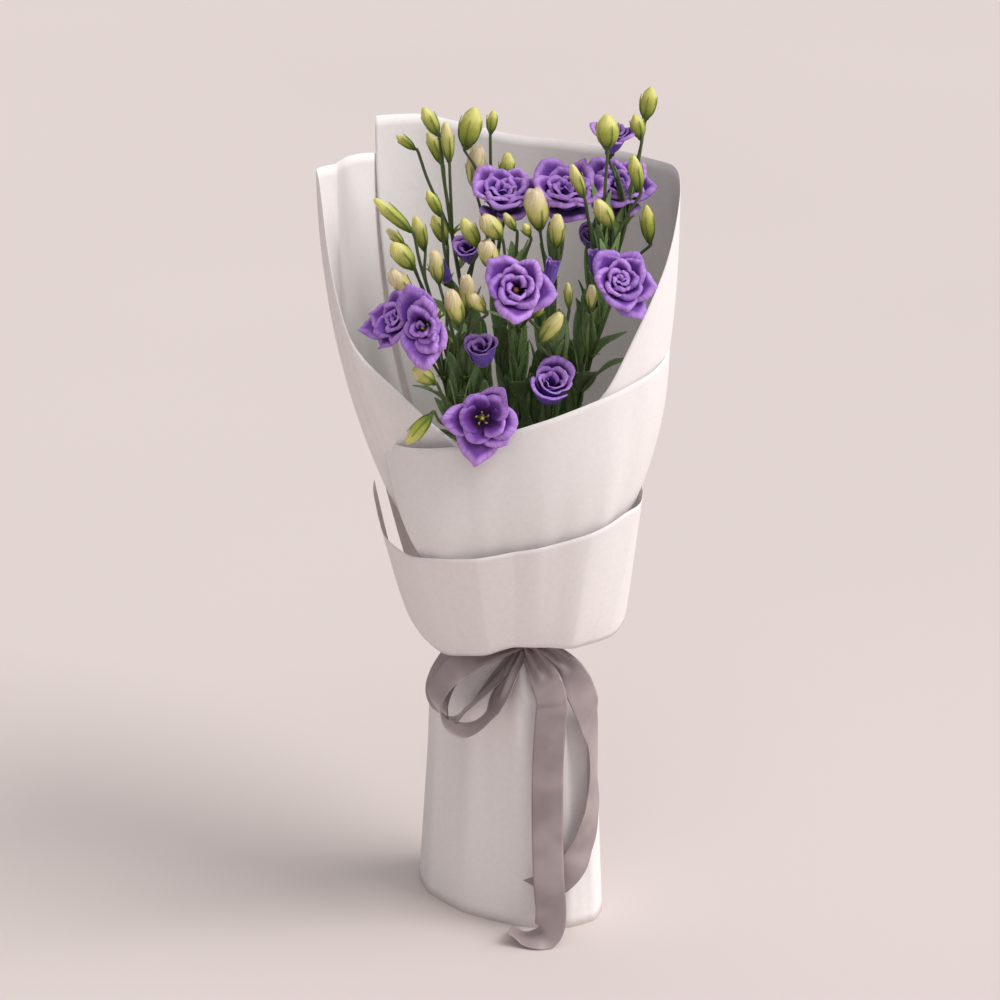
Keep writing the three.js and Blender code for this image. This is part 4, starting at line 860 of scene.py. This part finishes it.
# The paper: five pieces of matte white wrapping paper, gathered at the tie. Three tall
# sheets stand behind, left and in front of the flowers, a folded cuff goes round them like
# a bell, and a skirt hangs round the stems. Each is a bent sheet with a thickness.
PAPER_THICK, PAPER_ROWS, PAPER_STEP = 0.35, 64, 1.6
CUFF_GRID, SKIRT_GRID = (26, 300), (54, 199)
GATHERS, GATHER_DEPTH = 23, 0.9
# A sheet is its radius in the neck, the depth of its folds and its upper edge: bearing, how
# far out and how high, how soon it swells above the tie and how far its foot is turned.
SHEETS = {
    "back": (10.3, 1.6, [
        (139.5, 150, 644, 2.2, 0), (125, 143, 640, 2.2, 0), (88, 127, 619, 2.2, 0), (44, 130, 614, 2.2, 0),
        (9.5, 122, 623, 2.2, 0), (-5, 121, 612, 2.5, 0), (-20, 115, 562, 2.6, 0), (-34, 108, 525, 2.6, 0),
        (-51, 100, 476, 2.4, 0), (-64, 91, 452, 1.9, 0)]),
    "left": (11.5, 1.4, [
        (131, 152, 598, 2.2, 0), (138, 151.2, 612, 2.2, 0), (157.5, 143, 624, 2.3, 0),
        (174, 139, 632, 2.9, 0), (186, 140, 638, 2.9, 0), (200, 162, 645, 2, 0), (205, 160, 590, 1.6, 0),
        (209, 148, 520, 1.3, 0), (219, 113, 470, 1.3, 0), (237, 94, 437, 1.6, 0), (246, 89, 420, 1.6, 0)]),
    "collar": (12.7, 0.7, [
        (203, 116, 428, 2.9, 36), (217.6, 113.5, 430, 2.9, 24), (245, 99.5, 439, 2.9, 12),
        (267, 95, 453, 2.9, 0), (287.5, 97, 464, 2.9, 0), (309, 104, 475, 2.9, 0), (321, 108, 480, 2.5, 0),
        (335, 114, 486, 2.1, 0), (350, 116, 492, 2, 0)]),
}
# Bearing, and how far out and how high the lower and the upper edge of the cuff stand.
CUFF = [(176, 92, 272, 116, 372), (188, 90, 266, 116, 366), (200, 86, 258, 113, 344),
        (217.6, 75, 246, 109.5, 340), (231, 70, 248, 107, 343), (245, 67, 252, 99, 346),
        (267, 65, 260, 92, 352), (287.5, 66, 259, 93, 358), (309, 71, 256, 98.5, 366),
        (330, 78, 256, 101, 372), (360, 83, 257, 95, 372), (400, 80, 260, 88, 364),
        (450, 76, 262, 89, 360), (500, 84, 264, 112, 366), (524, 84, 268, 114, 366)]
# Creases that stand out of the cuff: bearing, how wide and how far.
CUFF_CREASES = [(250, 17, 3.6), (222, 12, 1.6), (303, 20, 2.0), (331, 14, 1.5)]
# Height, the middle of the skirt there, its half length, half width and depth of pleat.
SKIRT_TURN, SKIRT_PLEATS = math.radians(-33), 11
SKIRT = [(0, 0, 15, 84, 50, 0.5), (60, 0.7, 12.6, 79.5, 49, 1.0), (120, 1.4, 10.3, 75, 48, 1.6),
         (176, 2, 8, 71, 47, 2.6), (198, 3, 7, 64, 43, 3.4), (214, 5, 4, 44, 33, 3.6),
         (227, 8, 0, 20, 19, 1.6), (233, 8, 0, 14.3, 14.3, 0.3), (256, 8, 0, 14.3, 14.3, 0.3)]


def eased(knots, count):
    """Points of a smooth curve through all the knots that never swings past one."""
    knots = np.asarray(knots, float)
    step = np.diff(knots, axis=0)
    both = step[:-1] * step[1:]
    slope = np.where(both > 0, 2 * both / np.where(both > 0, step[:-1] + step[1:], 1), 0)
    return curve(knots, np.vstack([step[:1], slope, step[-1:]]), np.linspace(0, len(knots) - 1, count))


def round_tie(bearing, out, z):
    bearing = np.radians(bearing)
    return np.stack([TIE_X + out * np.cos(bearing), out * np.sin(bearing), z + 0 * out], -1)


def soft_folds(bearing, height):
    """The long shallow bends of paper that was wrapped by hand, from -1 to 1."""
    b = np.radians(bearing)
    return (0.5 * np.sin(5 * b + 2.2 * height + 1) + 0.3 * np.sin(11 * b - 3 * height)
            + 0.2 * np.sin(19 * b + 4 * height + 2))


def sheet_strip(neck, folds, edge):
    span = sum(abs(b[0] - a[0]) for a, b in zip(edge, edge[1:]))
    bearing, out, top, bulge, lean = eased(edge, round(span / PAPER_STEP)).T
    height = np.linspace(0, 1, PAPER_ROWS)[:, None] ** 1.5
    swell = 1 - (1 - height**0.85)**bulge
    turned = bearing + lean * (1 - height)
    reach = neck + (out - neck) * swell
    gather = (GATHER_DEPTH + 0.03 * (reach - neck)) * np.exp(-5 * height)
    gather = gather * np.cos(np.radians(turned) * GATHERS)
    reach = reach + gather + folds * height * (1 - 0.4 * height) * soft_folds(turned, height)
    upper = round_tie(turned, reach, TIE_TOP + (top - TIE_TOP) * height)
    foot = round_tie(turned[0], reach[0], TIE_BOTTOM + 4)
    return strip(np.concatenate([foot[None], upper]))


def cuff_strip():
    bearing, low_out, low_z, high_out, high_z = eased(CUFF, CUFF_GRID[1]).T
    height = np.linspace(0, 1, CUFF_GRID[0])[:, None]
    out = low_out + (high_out - low_out) * height**0.8 + 0.8 * soft_folds(bearing, 0.4 * height)
    for at, width, size in CUFF_CREASES:
        out = out + size * np.maximum(0, 1 - np.abs(bearing - at) / width)
    return strip(round_tie(bearing + 0 * height, out, low_z + (high_z - low_z) * height))


def skirt_strip():
    z, x, y, long, short, pleat = eased(SKIRT, SKIRT_GRID[0]).T[..., None]
    angle = np.linspace(0, 2 * math.pi, SKIRT_GRID[1])[None]
    wave = SKIRT_PLEATS * angle + 0.9 * np.sin(2 * angle + 1) + 0.5 * np.sin(3 * angle)
    pleat = pleat * (np.cos(wave) + 0.25 * np.cos(2 * wave))
    along, side = (long + pleat) * np.cos(angle), (short + pleat) * np.sin(angle)
    cos, sin = math.cos(SKIRT_TURN), math.sin(SKIRT_TURN)
    return strip(np.stack([x + along * cos - side * sin, y + along * sin + side * cos, z + 0 * angle], 2))


paper = Finish("white_paper", Roughness=0.78, Specular_IOR_Level=0.25)
fibres = paper.noise(paper.place(), 260, 5, 0.6)
crumple = paper.noise(paper.place(), 22, 3, 0.55)
paper.set(Base_Color=paper.mix(fibres.ease(0.3, 0.7), (237, 231, 230), (241, 235, 234)),
          Normal=paper.bump(fibres * 0.03 + crumple, 0.1, 0.002))

wraps = {name: sheet_strip(*sheet) for name, sheet in SHEETS.items()}
wraps["cuff"] = cuff_strip()
wraps["skirt"] = skirt_strip()
for name, grid in wraps.items():
    wrap = make_piece(f"wrap_{name}", [grid], [paper], PAPER_THICK)
    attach(wrap, "root")
    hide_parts(f"paper_{name}")

# The ribbon: one length of grey satin, 25 mm wide, wound round the neck and tied in a bow
# with two loops on the left, a tail that folds on the table and one that curls back across
# the skirt. It is a run of strips with a thickness, folded small where they meet the knot.
RIBBON_WIDTH, RIBBON_THICK, RIBBON_PINCH = 25, 0.35, 0.35
RUN_COLUMNS, RUN_FINENESS = 17, 12
BAND_RADIUS, BAND_HEIGHT, BAND_GRID = 14.9, 19, (21, 121)
KNOT_LENGTH, KNOT_HEIGHT, KNOT_RADIUS, KNOT_STEPS = 60, 24, 7.2, 40
# The notch in the end of the trail, as a share of the stretch between two places.
NOTCH = 9 / 22
# Places on the middle line of each run, and which way its width points there.
RUNS = {
    "loop_front": [
        (8, -25, 244, 0, -0.6, -0.8), (-8, -38, 247, 0.1, -0.7, -0.7), (-27, -50, 246, 0.2, -0.75, -0.6),
        (-48, -57, 233, 0.3, -0.8, -0.4), (-59, -59, 214, 0.4, -0.85, -0.2),
        (-53, -60, 195, 0.15, -0.9, -0.1), (-38, -59, 185, 0, -0.9, -0.05), (-22, -57, 191, 0, -0.9, 0),
        (-9, -50, 209, 0.35, -0.9, 0), (1, -40, 227, 0.5, -0.8, 0.1), (10, -26, 238, 0.5, -0.8, 0)],
    "loop_back": [
        (4, -24, 245, 0, -0.4, -0.9), (-18, -30, 246, 0.1, -0.5, -0.8), (-42, -36, 238, 0.6, -0.4, -0.7),
        (-56, -38, 214, 0.8, -0.5, -0.2), (-56, -40, 196, 0.6, -0.8, 0.2), (-44, -42, 186, 0, -1, 0.2),
        (-26, -41, 204, 0, -1, 0.2), (-7, -33, 223, 0.3, -0.9, 0), (5, -25, 236, 0.5, -0.8, 0)],
    "tail": [
        (12, -24, 243, -0.6, -0.3, -0.6), (18, -35, 238, -0.8, -0.2, -0.5), (28, -50, 224, -0.95, 0, -0.3),
        (33, -56, 208, -1, 0, 0), (32, -57, 190, -1, 0, 0), (30, -58, 150, -1, 0, 0),
        (30, -62, 100, -1, 0, 0), (31, -70, 60, -1, 0.05, 0), (33, -76, 32, -1, 0.1, 0),
        (31, -76, 14.5, -0.95, 0.35, 0), (24, -73, 6.6, -0.55, 0.85, 0), (12, -69, 4, -0.3, 0.95, 0),
        (0, -65, 9, -0.2, 0.95, 0)],
    "trail": [
        (14, -24, 243, 0, -0.3, -1), (30, -36, 242, -0.3, -0.3, -0.9), (47, -44, 228, -0.7, -0.2, -0.7),
        (59, -46, 204, -0.8, -0.5, -0.25), (66, -40, 170, -0.35, -0.9, 0), (67, -39, 130, -0.3, -0.95, 0),
        (63, -47, 92, -0.6, -0.7, 0.4), (52, -55, 64, -0.6, -0.2, 0.75), (36, -55.5, 46, -0.4, 0, 0.9),
        (16, -53, 36, -0.25, 0, 0.95)],
}
# Creases across a run: the place along it and the depth.
CREASES = {"tail": [(2.3, 2.2), (3.3, -1.6), (4.4, 1.2), (6.6, -1.2), (7.5, 1.4)],
           "trail": [(2.4, 2), (3.6, -1.4), (5.5, 1), (6.7, -1.4)],
           "loop_front": [(2.5, 1.6), (7.5, -1.2)], "loop_back": [(2.4, 1.6), (5.5, 1.2)]}


def run_strip(name, places):
    places = np.array(places, float)
    last = len(places) - 1
    u = np.linspace(-1, 1, RUN_COLUMNS)[None]
    at = np.linspace(0, last, RUN_FINENESS * last + 1)[:, None] + 0 * u
    if name == "trail":
        at = at - NOTCH * (1 - np.abs(u)) * (at / last)**8
    middle = along_knots(places[:, :3], at)
    along = unit(along_knots(places[:, :3], at + 0.02) - along_knots(places[:, :3], at - 0.02))
    wide = along_knots(places[:, 3:], at)
    wide = unit(wide - (wide * along).sum(-1, keepdims=True) * along)
    ends = np.minimum(at, last - at) if "loop" in name else at
    pinch = np.minimum(1, RIBBON_PINCH + (1 - RIBBON_PINCH) * ends / 2)
    fold = 3.1 * np.sqrt(1 - pinch**2) * np.sin(2 * math.pi * u) + 0.8 * pinch * (1 - u**2)
    for place, depth in CREASES.get(name, []):
        fold = fold + depth * np.maximum(0, 1 - np.abs(at - place - 0.1 * u) / 0.35)
    side = (0.5 * RIBBON_WIDTH * pinch * u)[..., None] * wide
    return strip(middle + side + fold[..., None] * np.cross(wide, along))


satin = Finish("grey_satin", Roughness=0.34, Specular_IOR_Level=0.6, Sheen_Weight=0.2, Sheen_Roughness=0.3)
across, along = satin.across_and_along()
threads = satin.noise((across * 60, along * 900, 0), 1, 2)
# Broad patches of lighter grey in the satin's colour are painted sheen, the light that a satin ribbon
# catches.
painted_sheen = satin.noise(satin.place(), 30, 2)
satin.set(Base_Color=satin.mix(painted_sheen.ease(0.3, 0.7), (144, 130, 131), (168, 152, 153)),
          Normal=satin.bump(threads, 0.12, 0.0003))

runs = [run_strip(name, places) for name, places in RUNS.items()]
u = np.linspace(-1, 1, BAND_GRID[0])[:, None]
turn = np.linspace(0, 360, BAND_GRID[1])[None]
band = round_tie(turn, BAND_RADIUS + 0.35 + 0.5 * np.sin(7 * u + 0.5 * np.sin(np.radians(turn))),
                 TIE_MIDDLE + 0.5 * BAND_HEIGHT * u)
t = np.linspace(0, 1, KNOT_STEPS)
girth = KNOT_RADIUS * np.sin(0.35 + (math.pi - 0.7) * t)**0.5 * (1 + 0.1 * np.sin(11 * t))
knot = tube(np.outer(TIE_MIDDLE + KNOT_HEIGHT * (t - 0.5), UP), girth, KNOT_STEPS)
x, y, z = np.moveaxis(knot.points, -1, 0)
swirl = 1 + 0.07 * np.sin(4 * np.arctan2(y, x) + 0.25 * z)
knot.points = np.stack([TIE_X + 3 + 1.3 * swirl * x, -BAND_RADIUS - 4.5 + 0.75 * swirl * y, z], -1)
bow = make_piece("satin_ribbon", [*runs, strip(band)], [satin], RIBBON_THICK)
lump = make_piece("knot", [knot], [satin])
select_only(bow, lump)
bpy.ops.object.join()
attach(bow, "root")
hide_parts("ribbon")
